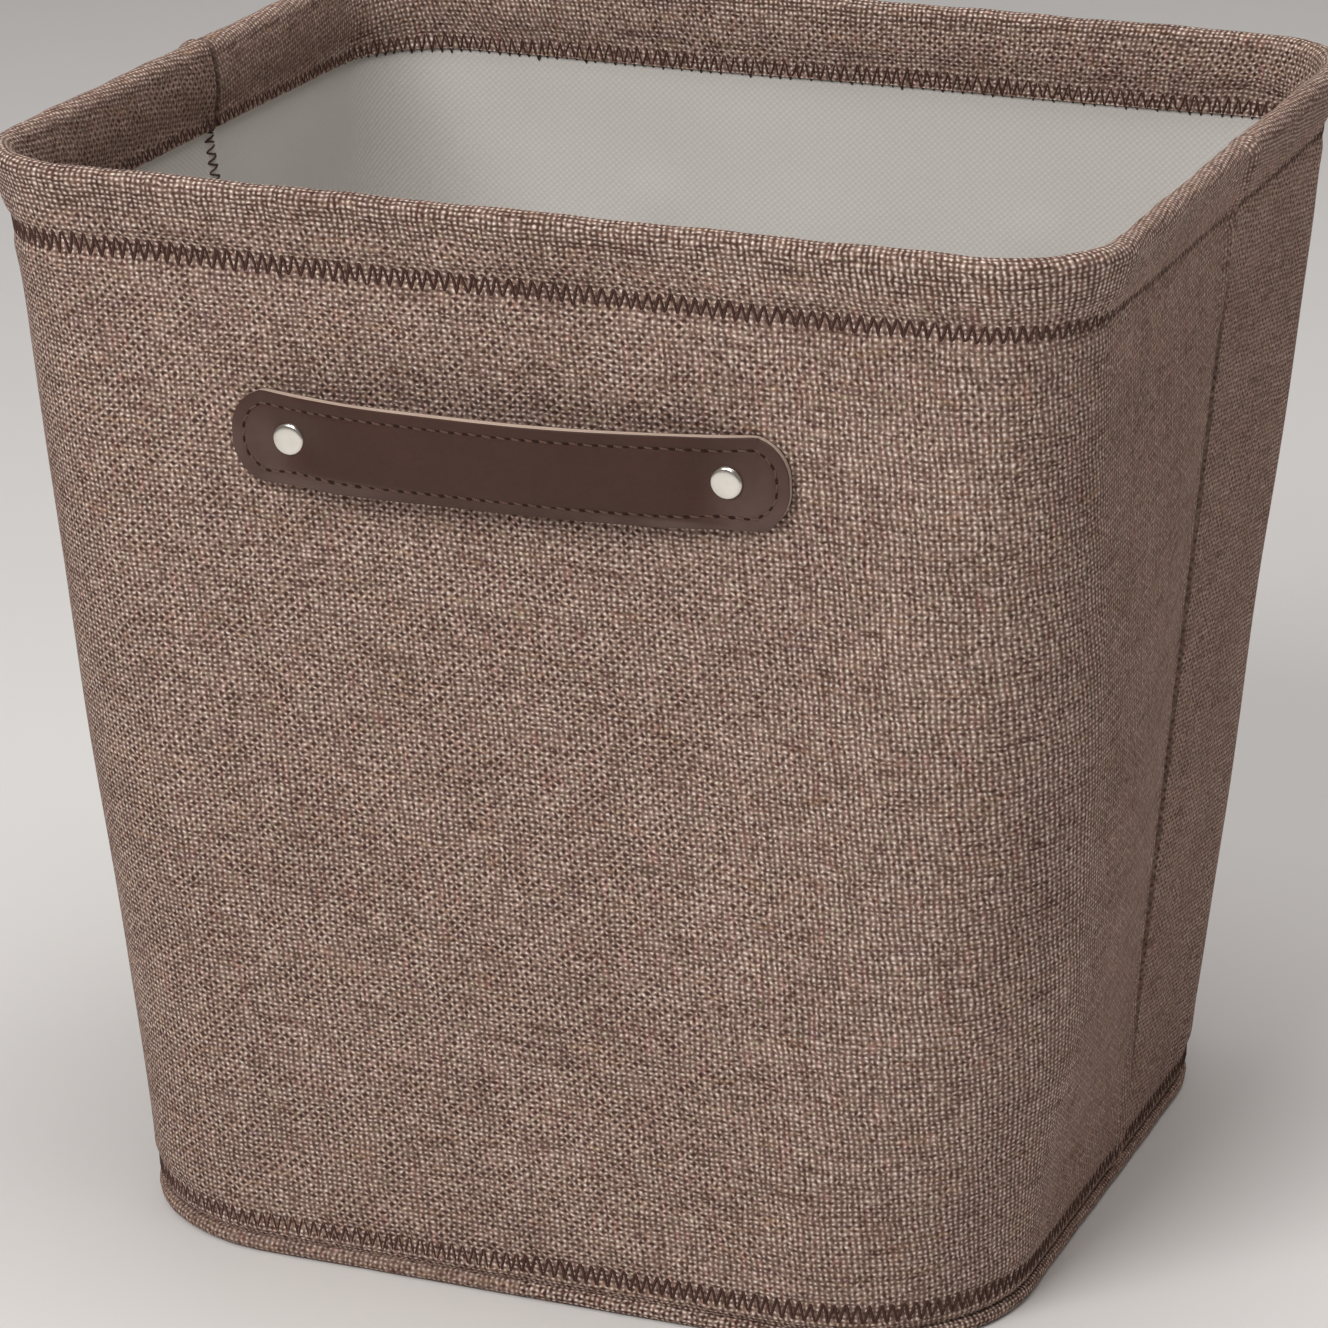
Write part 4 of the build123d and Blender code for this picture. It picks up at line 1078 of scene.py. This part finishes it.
row = zigzag("hem_zigzag", loop_where(hem_face, True), hem_length, ZIG, HEM_Z0, HEM_Z1, 0.43, 11, wander=1.25, height=hem_height, sunk=drawn_in)
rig.ride(row, "rim")
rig.replaces(row, "rim_stitch_outer")
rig.slot(row, "brown_thread")


def inner_where(s, z):
    p, n = loop_where(hem_back, True)(s, z)
    return p, -n


row = zigzag("hem_zigzag_inside", inner_where, hem_length, ZIG, 314.6, 321.4, 0.33, 12, out=0.06, wander=1.5, height=lower_at_sides, sunk=lambda s: 0.4 * drawn_in(s))
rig.ride(row, "rim")
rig.replaces(row, "rim_stitch_inner")
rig.slot(row, "brown_thread")

foot_length = perimeter(*section(12.0))
row = zigzag("foot_zigzag", loop_where(hem_face), foot_length, ZIG, BASE_Z0, BASE_Z1, 0.44, 13, height=lambda s: 1.14, sunk=lambda s: 0.7 * drawn_in(s), drop=lambda s: 0.7 + 2.6 * drawn_in(s))
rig.ride(row, "bin_body")
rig.replaces(row, "base_stitch")
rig.slot(row, "brown_thread")


def seam_where(sign):
    def where(s, z):
        """s runs up the seam and z across it."""
        up = s + 14.0
        a, b, r = section(up)
        y = SEAM_Y + z
        n = -1.15 - 0.62
        edge = 2.2 - z
        n = n - np.where(z < 2.2, 0.5 * step(5 - edge, 0, 3), 0.0)
        sf = -sign * 0 + (a - r) + np.pi * r / 2 + (b - r) + y
        n = n + swell(sf * sign, up, "front") * (1 - step(up, 300, 312)) * (z < 2.2) + np.where(z < 2.2, 0, 1) * swell(
            -sign * ((a - r) + np.pi * r / 2 + (b - r) - y), up, "back") * (1 - step(up, 300, 312))
        one = np.ones_like(y)
        return np.stack([sign * (a + n), y, up], -1), np.stack([-sign * one, 0 * one, 0 * one], -1)

    return where


for sign, side in ((-1, "left"), (1, "right")):
    row = zigzag(f"{side}_seam_zigzag", seam_where(sign), 301.0, 3.5, -3.4, 3.4, 0.33, 21 + sign, closed=False, points=9, out=0.12)
    fold_with_rim(row)
    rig.replaces(row, f"{side}_seam_stitch")
    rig.slot(row, "brown_thread")


# ------------------------------------------------------------------ base
def binding():
    """Strip of fabric rolled round the foot's wire."""
    prof = [(2.6 + 2.5 * math.sin(t), -1.35 + 2.5 * math.cos(t)) for t in np.radians(np.linspace(150, -170, 40))]
    z = np.array([v[0] for v in prof])
    n = np.array([v[1] for v in prof])
    whole = perimeter(*section(3.0))
    s = np.linspace(0, whole, 300, endpoint=False)[:, None]
    a, b, r = section(3.0)
    x, y, nx, ny = around(a, b, r, np.broadcast_to(s, (300, len(z))))
    sleeve = 1 - step(np.abs(s - whole / 2), 12.0, 19.0)  # the wire's sleeve makes it thicker at the back
    wob = (0.14 * np.sin(s * 0.05) + 0.13 * np.sin(s * 0.21 + 1) + 0.1 * np.sin(s * 0.62 + 2)) * (1 - sleeve)
    slim = 1 - 0.16 * step(np.abs(nx), 0.5, 0.95) + 0.17 * sleeve  # pulled tighter along the sides
    nn = (n[None, :] + 1.35) * slim - 1.35 + wob * np.clip((n[None, :] + 1) / 3, 0, 1)
    zz = 2.6 + (z[None, :] - 2.6) * np.where(z[None, :] > 2.6, slim, 1.0)
    p = np.stack([x + nx * nn, y + ny * nn, zz], -1)
    nrm = grid_normals(p[:, ::-1])[:, ::-1]
    inner = p - nrm * (0.8 - 1.56 * np.clip(1 - slim, 0, 0.16) - 0.2 * sleeve)[:, :, None]
    v = profile_length(prof)
    uv = np.stack(np.broadcast_arrays(s, v[None, :]), -1)
    # join the ring with a seam in the map
    p2, i2 = np.concatenate([p, p[:1]]), np.concatenate([inner, inner[:1]])
    uv2 = np.concatenate([uv, uv[:1] + np.array([whole, 0])])
    return closed_sheet("base_binding", p2, i2, uv2, [BINDING])


strip = binding()
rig.ride(strip, "bin_body")
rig.replaces(strip, "base_edge_roll")
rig.slot(strip, "melange_fabric")


def flat_cloth(name, a, b, r, low, high, mats, wave=0.0, ring=(1.0, 0.985, 0.95, 0.9, 0.82, 0.72, 0.6, 0.47, 0.33, 0.18, 0.0), edge=0.25, count=220):
    """A flat closed cloth with the outline of a rounded rectangle."""
    s = np.linspace(0, perimeter(a, b, r), count, endpoint=False)
    x, y, nx, ny = around(a, b, r, s)
    top, bot, uv = [], [], []
    ring = [1.0] + list(ring)
    for k, f in enumerate(ring):
        px, py = x * f, y * f
        if k == 0:
            drop = (high - low) * 0.5
        else:
            drop = 0.0
            if k == 1:
                px, py = px - nx * edge, py - ny * edge
        w = wave * (np.sin(px * 0.05) * np.sin(py * 0.043 + 0.6)) * (1 - f**4)
        top.append(np.stack([px, py, np.full(px.shape, high - drop) + w], -1))
        bot.append(np.stack([px, py, np.full(px.shape, low + drop) + w], -1))
        uv.append(np.stack([px, py], -1))
    top, bot, uv = (np.stack(v, 1) for v in (top, bot, uv))
    nr = len(ring)
    idx = np.arange(count * nr).reshape(count, nr)
    nxt = np.roll(idx, -1, axis=0)
    m = count * nr
    quads = np.stack([idx[:, :-1], nxt[:, :-1], nxt[:, 1:], idx[:, 1:]], -1)[:, : nr - 2].reshape(-1, 4)
    faces = [tuple(f) for f in quads] + [tuple(f) for f in quads[:, ::-1] + m]
    # the innermost ring is one point
    verts = np.concatenate([top.reshape(-1, 3), bot.reshape(-1, 3)])
    uvs = np.concatenate([uv.reshape(-1, 2), uv.reshape(-1, 2)])
    keep = np.ones(len(verts), bool)
    keep[idx[1:, -1]] = False
    keep[idx[1:, -1] + m] = False
    # outer edges of both sides are the same points
    keep[idx[:, 0] + m] = False
    new = np.cumsum(keep) - 1
    alias = np.arange(len(verts))
    alias[idx[:, -1]] = idx[0, -1]
    alias[idx[:, -1] + m] = idx[0, -1] + m
    alias[idx[:, 0] + m] = idx[:, 0]
    hub = [(idx[i, nr - 2], nxt[i, nr - 2], idx[0, -1]) for i in range(count)]
    faces += hub + [tuple(v + m for v in f[::-1]) for f in hub]
    faces = [tuple(new[alias[v]] for v in f) for f in faces]
    ob = make_mesh(name, verts[keep], faces, uvs[keep], mats)
    face_out(ob)
    return ob


base_cloth = flat_cloth("base_fabric", 139.6, 135.3, 56.2, 0.15, 1.1, [BINDING], wave=0.0)
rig.ride(base_cloth, "bin_body")
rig.replaces(base_cloth, "base_panel")
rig.slot(base_cloth, "melange_fabric")
base_liner = flat_cloth("base_lining_cloth", 139.3, 135.0, 55.9, 1.12, 1.75, [LINING], wave=0.05)
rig.ride(base_liner, "bin_body")
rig.replaces(base_liner, "base_lining")
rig.slot(base_liner, "pale_lining")


def board_cover():
    """Lining cloth stretched over the board and turned under its edge."""
    a, b, r = 137.4, 133.1, 54.0
    count = 260
    s = np.linspace(0, perimeter(a, b, r), count, endpoint=False)
    x, y, nx, ny = around(a, b, r, s)
    # from the turned-under edge, round the side and in over the top: (distance out from the board's edge, height)
    prof = [(-11.0, 1.42), (-10.6, 1.36), (-6.0, 1.36), (-2.0, 1.36), (-0.4, 1.4), (0.25, 1.6), (0.55, 2.1), (0.62, 3.0), (0.6, 4.0), (0.5, 4.8), (0.15, 5.3), (-0.6, 5.52), (-3.0, 5.55), (-8.0, 5.52)]
    cols = []
    arc = np.concatenate([[0], np.cumsum(np.hypot(*np.diff(np.array(prof).T)))])
    pts, uv = [], []
    for (o, z), v in zip(prof, arc):
        w = 0.18 * np.sin(s * 0.31 + np.sin(s * 0.05)) if z < 1.5 else 0.0
        k = np.clip(-o / 11, 0, 1) if z < 2 else 0
        pts.append(np.stack([x + nx * o, y + ny * o, np.full(s.shape, z) + w * 0.3 * k], -1))
        uv.append(np.stack([x + nx * (arc[-1] - v - 8.0), y + ny * (arc[-1] - v - 8.0)], -1))
    ox, oy = pts[-1][:, 0], pts[-1][:, 1]
    for f in (0.88, 0.8, 0.7, 0.58, 0.44, 0.3, 0.15):
        w = 0.12 * np.sin(ox * f * 0.06 + 0.4) * np.sin(oy * f * 0.05 + 1.0)
        pts.append(np.stack([ox * f, oy * f, 5.53 + w], -1))
        uv.append(np.stack([ox * f, oy * f], -1))
    pts, uv = np.stack(pts, 1), np.stack(uv, 1)
    nr = pts.shape[1]
    idx = np.arange(count * nr).reshape(count, nr)
    nxt = np.roll(idx, -1, axis=0)
    nrm = np.cross(np.roll(pts, -1, 0) - np.roll(pts, 1, 0), np.gradient(pts, axis=1))
    nrm /= np.linalg.norm(nrm, axis=2, keepdims=True)
    th = 0.34
    inner = pts - nrm * th
    hub_o, hub_i = np.array([[0, 0, 5.53]]), np.array([[0, 0, 5.53 - th]])
    m = count * nr
    verts = np.concatenate([pts.reshape(-1, 3), inner.reshape(-1, 3), hub_o, hub_i])
    uvs = np.concatenate([uv.reshape(-1, 2), uv.reshape(-1, 2), [[0, 0]], [[0, 0]]])
    q = np.stack([idx[:, :-1], nxt[:, :-1], nxt[:, 1:], idx[:, 1:]], -1).reshape(-1, 4)
    faces = [tuple(f) for f in q] + [tuple(f) for f in q[:, ::-1] + m]
    faces += [(idx[i, -1], nxt[i, -1], 2 * m) for i in range(count)]
    faces += [(nxt[i, -1] + m, idx[i, -1] + m, 2 * m + 1) for i in range(count)]
    faces += [(nxt[i, 0], idx[i, 0], idx[i, 0] + m, nxt[i, 0] + m) for i in range(count)]
    ob = make_mesh("board_cover_cloth", verts, faces, uvs, [LINING], sharp=70)
    face_out(ob)
    return ob


cover = board_cover()
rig.ride(cover, "base_insert")
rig.replaces(cover, "base_board_cover")
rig.slot(cover, "pale_lining")
NODES["base_board"].data.materials.clear()
NODES["base_board"].data.materials.append(BOARD)
for node in ("rim_wire", "base_wire"):
    NODES[node].data.materials.clear()
    NODES[node].data.materials.append(WIRE)
for node in ("rim_wire_ferrule", "base_wire_ferrule"):
    NODES[node].data.materials.clear()
    NODES[node].data.materials.append(FERRULE)


# ------------------------------------------------------------------ strap handles
STRAP_L, STRAP_H, END_R = 172.8, 28.0, 12.5


def strap_bow(x, h):
    """How far the strap stands off the wall: its upper edge leans out more than its lower edge, the rivets hold it
    down, and its lower margin curls in."""
    ax = np.clip(np.abs(x) / 77.0, 0, 1)
    upper, lower = 10.0 * (1 - ax**2.3), 5.2 * (1 - ax**4)
    bow = (upper + lower) / 2 + (upper - lower) / 28.0 * h
    bow = bow + 0.5 * np.exp(-(((x + 46.0) / 16.0) ** 2)) + 0.25 * np.sin(x * 0.09 + 0.5) * (1 - ax**2)
    for rx in (-RIVET_X, RIVET_X):
        bow = bow * (1 - np.exp(-((x - rx) ** 2 + h**2) / 95.0))
    return bow - 0.75 * step(-h, 9.4, 14.2) ** 1.3 - 0.12 * step(h, 10.0, 14.0)


def strap_place(x, h, o, side, bowed=True):
    """From strap coordinates (along, up, out from the wall) to the bin's frame."""
    x, h, o = np.broadcast_arrays(*(np.asarray(v, float) for v in (x, h, o)))
    k = -1.0 if side == "front" else 1.0
    mid, high, turn = HANDLE[side]
    out = o
    if bowed:
        # the strap's thickness lies along its own normal
        sx, sh = strap_bow(x + 0.5, h) - strap_bow(x - 0.5, h), strap_bow(x, h + 0.5) - strap_bow(x, h - 0.5)
        k0 = o / np.sqrt(1 + sx**2 + sh**2)
        out = strap_bow(x, h) + k0
        x, h = x - sx * k0, h - sh * k0
    along, up = x * math.cos(turn) - h * math.sin(turn), x * math.sin(turn) + h * math.cos(turn)
    # the wall leans outward as it rises
    y = 139.1 + 8.8 * high / HEIGHT + up * math.sin(TILT) + out * math.cos(TILT)
    z = high + up * math.cos(TILT) - out * math.sin(TILT)
    return np.stack([-k * (mid + along), k * y, z], -1)


def strap_outline(count_side=92, count_corner=22):
    a, b, r = STRAP_L / 2, STRAP_H / 2, END_R
    s = []
    lens = [a - r, np.pi * r / 2, 2 * (b - r), np.pi * r / 2, 2 * (a - r), np.pi * r / 2, 2 * (b - r), np.pi * r / 2, a - r]
    counts = [count_side // 2, count_corner, 3, count_corner, count_side, count_corner, 3, count_corner, count_side // 2]
    at = 0.0
    for length, c in zip(lens, counts):
        s += [at + length * i / c for i in range(c)]
        at += length
    x, y, nx, ny = around(a, b, r, np.array(s))
    return x, y, nx, ny


def strap_layers(name, side, slabs, insets, mats):
    """Layers of a strap as one piece: rings set in from its outline. Each slab has a lower and an upper height, the
    changes to them at each ring, and how far its edge stands out."""
    x, y, nx, ny = strap_outline()
    half = STRAP_H / 2
    mx = np.clip(x, -(STRAP_L / 2 - half), STRAP_L / 2 - half)
    n, nr = len(x), len(insets)
    idx = np.arange(n * nr).reshape(n, nr)
    nxt = np.roll(idx, -1, axis=0)
    m = n * nr
    q = np.stack([idx[:, :-1], nxt[:, :-1], nxt[:, 1:], idx[:, 1:]], -1).reshape(-1, 4)
    one = [tuple(f) for f in q] + [tuple(f) for f in q[:, ::-1] + m]
    one += [(nxt[i, 0], idx[i, 0], idx[i, 0] + m, nxt[i, 0] + m) for i in range(n)]
    verts, faces = [], []
    for low, high, tops, bottoms, grow in slabs:
        base = 2 * m * (len(verts) // 2)
        top, bot = [], []
        for d, t, bt in zip(insets, tops, bottoms):
            f = d / half
            px, ph = x + (mx - x) * f + nx * grow * (1 - f), y * (1 - f) + ny * grow * (1 - f)
            top.append(strap_place(px, ph, high + t, side))
            bot.append(strap_place(px, ph, low + bt, side))
        verts += [np.stack(top, 1).reshape(-1, 3), np.stack(bot, 1).reshape(-1, 3)]
        faces += [tuple(v + base for v in f) for f in one]
    ob = make_mesh(name, np.concatenate(verts), faces, None, mats, sharp=60)
    # the innermost ring closes on the middle line
    import bmesh

    bm = bmesh.new()
    bm.from_mesh(ob.data)
    bmesh.ops.remove_doubles(bm, verts=bm.verts, dist=0.00001)
    bmesh.ops.dissolve_degenerate(bm, edges=bm.edges, dist=0.000001)
    bmesh.ops.recalc_face_normals(bm, faces=bm.faces)
    bm.to_mesh(ob.data)
    bm.free()
    ob.data.set_sharp_from_angle(angle=math.radians(60))
    return ob


def strap_weight(x):
    """Share of the strap's twist that a point takes: none at the rivets, all of it near the middle."""
    return 1 - step(np.abs(x), 22.0, 61.0)


def twist_with(ob, side):
    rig.blend(ob, "rim", f"{side}_strap", start=(0, 0, 0.2), end=(0, 0, 0.3))
    co = np.empty(len(ob.data.vertices) * 3)
    ob.data.vertices.foreach_get("co", co)
    set_weights(ob, strap_weight(co.reshape(-1, 3)[:, 0] / MM))


def lathe(name, profile, centres, side, mats, count=56):
    """Turned pieces on the strap's rivet places. profile is (radius, out from the wall)."""
    verts, faces = [], []
    ang = np.linspace(0, 2 * np.pi, count, endpoint=False)
    for cx in centres:
        base = len(verts)
        for rad, out in profile:
            a, r = (ang, rad) if rad > 0 else (np.zeros(1), 0.0)
            pts = strap_place(cx + r * np.cos(a), r * np.sin(a), out, side, bowed=False)
            verts += [tuple(v) for v in pts]
        sizes = [count if rad > 0 else 1 for rad, _ in profile]
        at = base
        for k in range(len(profile) - 1):
            n0, n1 = sizes[k], sizes[k + 1]
            a0, a1 = at, at + n0
            for i in range(count):
                j = (i + 1) % count
                if n0 == 1:
                    faces.append((a0, a1 + i, a1 + j))
                elif n1 == 1:
                    faces.append((a0 + i, a1, a0 + j))
                else:
                    faces.append((a0 + i, a1 + i, a1 + j, a0 + j))
            at += n0
    ob = make_mesh(name, verts, faces, None, mats, sharp=40)
    face_out(ob)
    return ob


for side in ("front", "back"):
    insets = [0.0, 0.12, 0.35, 0.8, 1.6, 2.5, 3.1, 3.45, 3.8, 4.15, 4.5, 5.2, 6.4, 7.6, 8.8, 10.0, 11.2, 12.4, 14.0]
    none = [0.0] * len(insets)
    face_top = [-0.24, -0.12, -0.04, 0.02, 0.05, 0.02, -0.08, -0.22, -0.32, -0.22, -0.06, 0.06, 0.1, 0.1, 0.09, 0.07, 0.06, 0.05, 0.05]
    face = strap_layers(f"{side}_strap_leather", side, [(3.02, 3.5, face_top, none, 0.0)], insets, [LEATHER])
    edge = [-0.1, -0.02] + [0.0] * (len(insets) - 2)
    edge_low = [-v for v in edge]
    core = strap_layers(f"{side}_strap_pale_core", side, [(1.06, 1.98, edge, edge_low, -0.02), (2.06, 3.01, edge, edge_low, 0.03)], insets, [CORE])
    back = strap_layers(f"{side}_strap_lining", side, [(0.7, 1.04, none, [0.2, 0.1, 0.03] + none[3:], -0.05)], insets, [BACKING])
    for ob, node, slot in ((face, "face", "strap_leather"), (core, "core", "strap_core"), (back, "backing", "strap_leather")):
        twist_with(ob, side)
        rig.replaces(ob, f"{side}_strap_{node}")
        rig.slot(ob, slot)
    # stitches along the groove, on the face and on the back, and the needle holes between them
    rng = np.random.default_rng(31 if side == "front" else 32)
    inset = 3.8
    a, b, r = STRAP_L / 2 - inset, STRAP_H / 2 - inset, END_R - inset
    total = perimeter(a, b, r)
    count = int(round(total / 4.35))
    pitch = total / count
    t = np.linspace(0, 1, 11)[None, :]
    paths, ups, rads, pick = [], [], [], []
    for face_side in (1, -1):
        start = (np.arange(count) + (0.0 if face_side > 0 else 0.5))[:, None] * pitch + rng.normal(0, 0.08, (count, 1))
        long = pitch * (0.74 + rng.normal(0, 0.02, (count, 1)))
        x, h, nx, ny = around(a, b, r, start + long * t)
        slant = (t - 0.5) * 0.5  # each stitch lies a little askew
        x, h = x + nx * slant, h + ny * slant + rng.normal(0, 0.06, (count, 1))
        arch = np.sin(np.pi * t) ** 0.4
        o = (2.62 + 0.6 * arch) if face_side > 0 else (1.0 - 0.36 * arch)
        o = np.broadcast_to(o, x.shape)
        p = strap_place(x, h, o, side)
        paths.append(p)
        ups.append(strap_place(x, h, o + face_side, side) - p)
        rads.append(np.broadcast_to(0.36 * (0.7 + 0.3 * np.sin(np.pi * t) ** 0.5), x.shape))
        pick.append(np.zeros(count, int))
        if face_side > 0:
            # a needle hole is a short dark slot along the groove: painted shade inside the hole
            gap = start[:, :1] - pitch * 0.13 + (t - 0.5) * pitch * 0.52
            x, h, nx, ny = around(a, b, r, gap)
            o = np.broadcast_to(2.5 + 0.2 * arch, x.shape)
            p = strap_place(x, h, o, side)
            paths.append(p)
            ups.append(strap_place(x, h, o + 1.0, side) - p)
            rads.append((0.76 + rng.normal(0, 0.05, (count, 1))) * (0.75 + 0.25 * arch))
            pick.append(np.ones(count, int))
    st = tubes(f"{side}_strap_stitches", np.concatenate(paths), np.concatenate(ups), np.concatenate(rads), [STRAP_THREAD, HOLE_SHADE], sides=8, pick=np.concatenate(pick))
    twist_with(st, side)
    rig.replaces(st, f"{side}_strap_stitch")
    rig.slot(st, "brown_thread")
    cap = [(0.0, 5.36), (1.6, 5.34), (3.0, 5.26), (3.8, 5.17), (4.25, 5.06), (4.6, 4.86), (4.84, 4.56), (4.96, 4.2), (5.0, 3.8), (4.9, 3.5), (4.6, 3.3), (2.0, 3.3), (2.0, 2.2), (2.0, -1.3), (1.9, -1.6), (0.0, -1.6)]
    caps = lathe(f"{side}_rivet_caps", cap, (-RIVET_X, RIVET_X), side, [NICKEL])
    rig.ride(caps, "rim")
    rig.replaces(caps, f"{side}_rivets")
    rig.slot(caps, "rivet_nickel")
    washer = [(0.0, -1.75), (1.2, -1.74), (2.6, -1.7), (3.5, -1.6), (4.0, -1.45), (4.2, -1.3), (4.1, -1.2), (0.0, -1.2)]
    backs = lathe(f"{side}_rivet_back_caps", washer, (-RIVET_X, RIVET_X), side, [NICKEL])
    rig.ride(backs, "rim")
    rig.replaces(backs, f"{side}_rivet_backs")
    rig.slot(backs, "rivet_nickel")


# ------------------------------------------------------------------ cloth sizes
def half_area(front):
    """Flat area of the outer fabric of one half, from the foot to the raw edge inside the rim."""
    z = np.array([r[0] for r in PROFILE])
    v = profile_length(PROFILE)
    w = 2 * (seam_at(z, front) + (2.6 if front else 7.0))
    return float(np.trapz(w, v)) * 1e-6, float(w.max()) * MM, float(v[-1]) * MM


for half in ("front", "back"):
    area, wide, tall = half_area(half == "front")
    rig.sheet(sheets[half], flat=(wide, tall), held="stretched", area=area, rests_on=["rim_wire"])
    zz = np.linspace(0, 333.5, 200)
    w = 2 * (seam_at(zz, half == "front") + (2.2 if half == "front" else 0.3))
    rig.sheet(sheets[half + "_lining"], flat=(float(w.max()) * MM, 0.3335), held="stretched", area=float(np.trapz(w, zz)) * 1e-6, rests_on=[sheets[half].name])
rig.sheet(strip, flat=(0.0140, float(perimeter(*section(3.0))) * MM), held="folded", rests_on=["base_wire"])
flat_area = lambda a, b, r: (4 * a * b - (4 - math.pi) * r * r) * 1e-6
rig.sheet(base_cloth, flat=(0.2792, 0.2706), held="laid", area=flat_area(139.6, 135.3, 56.2))
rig.sheet(base_liner, flat=(0.2786, 0.27), held="laid", area=flat_area(139.3, 135.0, 55.9), rests_on=[base_cloth.name])
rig.sheet(cover, flat=(0.304, 0.2954), held="stretched", area=flat_area(152.0, 147.7, 68.0), rests_on=["base_board"])


# ------------------------------------------------------------------ floor, light, camera
def floor():
    """Pale floor that rises into a soft backdrop far behind."""
    n, m = 60, 40
    xs = np.linspace(-6000, 6000, n)
    ys = np.concatenate([np.linspace(-6000, 3000, m), 3000 + 1500 * np.sin(np.linspace(0.1, np.pi / 2, 14))])
    zs = np.concatenate([np.zeros(m), 1500 * (1 - np.cos(np.linspace(0.1, np.pi / 2, 14)))])
    ys, zs = np.append(ys, 4500), np.append(zs, 5000)
    verts = [(x, y, z - 0.2) for x in xs for y, z in zip(ys, zs)]
    k = len(ys)
    faces = [(i * k + j, (i + 1) * k + j, (i + 1) * k + j + 1, i * k + j + 1) for i in range(n - 1) for j in range(k - 1)]
    return make_mesh("studio_floor", verts, faces, None, [floor_material()], sharp=180)


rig.stage(floor())


def area_light(name, at, aim, size, power, colour=(1, 1, 1)):
    data = bpy.data.lights.new(name, "AREA")
    data.shape, data.size, data.size_y = "RECTANGLE", size[0], size[1]
    data.energy, data.color = power, colour
    ob = bpy.data.objects.new(name, data)
    bpy.context.scene.collection.objects.link(ob)
    ob.location = at
    ob.rotation_euler = (Vector(aim) - Vector(at)).to_track_quat("-Z", "Y").to_euler()
    return ob


area_light("key_softbox", (-0.5, -2.1, 1.9), (0, 0, 0.18), (1.4, 1.1), 49.5, (1.0, 0.98, 0.96))
area_light("top_softbox", (0.15, 0.1, 2.2), (0, 0, 0.1), (1.6, 1.4), 22.0, (1.0, 0.985, 0.97))
area_light("right_fill", (1.6, 1.9, 0.7), (0, 0, 0.15), (1.0, 1.4), 4.2, (1.0, 0.78, 0.72))
world = bpy.data.worlds.new("studio")
world.use_nodes = True
world.node_tree.nodes["Background"].inputs[0].default_value = (1.0, 0.94, 0.91, 1.0)
world.node_tree.nodes["Background"].inputs[1].default_value = 0.21
bpy.context.scene.world = world
bpy.context.scene.view_settings.view_transform = "Standard"

UNIT = 0.344
YAW, PITCH, ROLL_ANGLE = 0.3705, 0.3386, 0.0025
fwd = Vector((-math.sin(YAW) * math.cos(PITCH), math.cos(YAW) * math.cos(PITCH), -math.sin(PITCH)))
right = Vector((math.cos(YAW), math.sin(YAW), 0))
up = right.cross(fwd)
r2 = math.cos(ROLL_ANGLE) * right + math.sin(ROLL_ANGLE) * up
u2 = -math.sin(ROLL_ANGLE) * right + math.cos(ROLL_ANGLE) * up
cam = bpy.data.cameras.new("photo_camera")
cam.sensor_width = 36.0
cam.sensor_fit = "HORIZONTAL"
cam.lens = 5375.2 / 1328 * 36.0
cam.clip_start, cam.clip_end = 0.05, 60.0
camera = bpy.data.objects.new("photo_camera", cam)
bpy.context.scene.collection.objects.link(camera)
m = Matrix((r2, u2, -fwd)).transposed().to_4x4()
m.translation = Vector((1.6726, -4.3644, 2.1069)) * UNIT
camera.matrix_world = m
bpy.context.scene.camera = camera

VISUAL_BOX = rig.bounds()
json.dump(
    {"cad": [[float(v) for v in c] for c in CAD_BOX], "visual": [[float(v) for v in c] for c in VISUAL_BOX]},
    open("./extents.json", "w"),
)
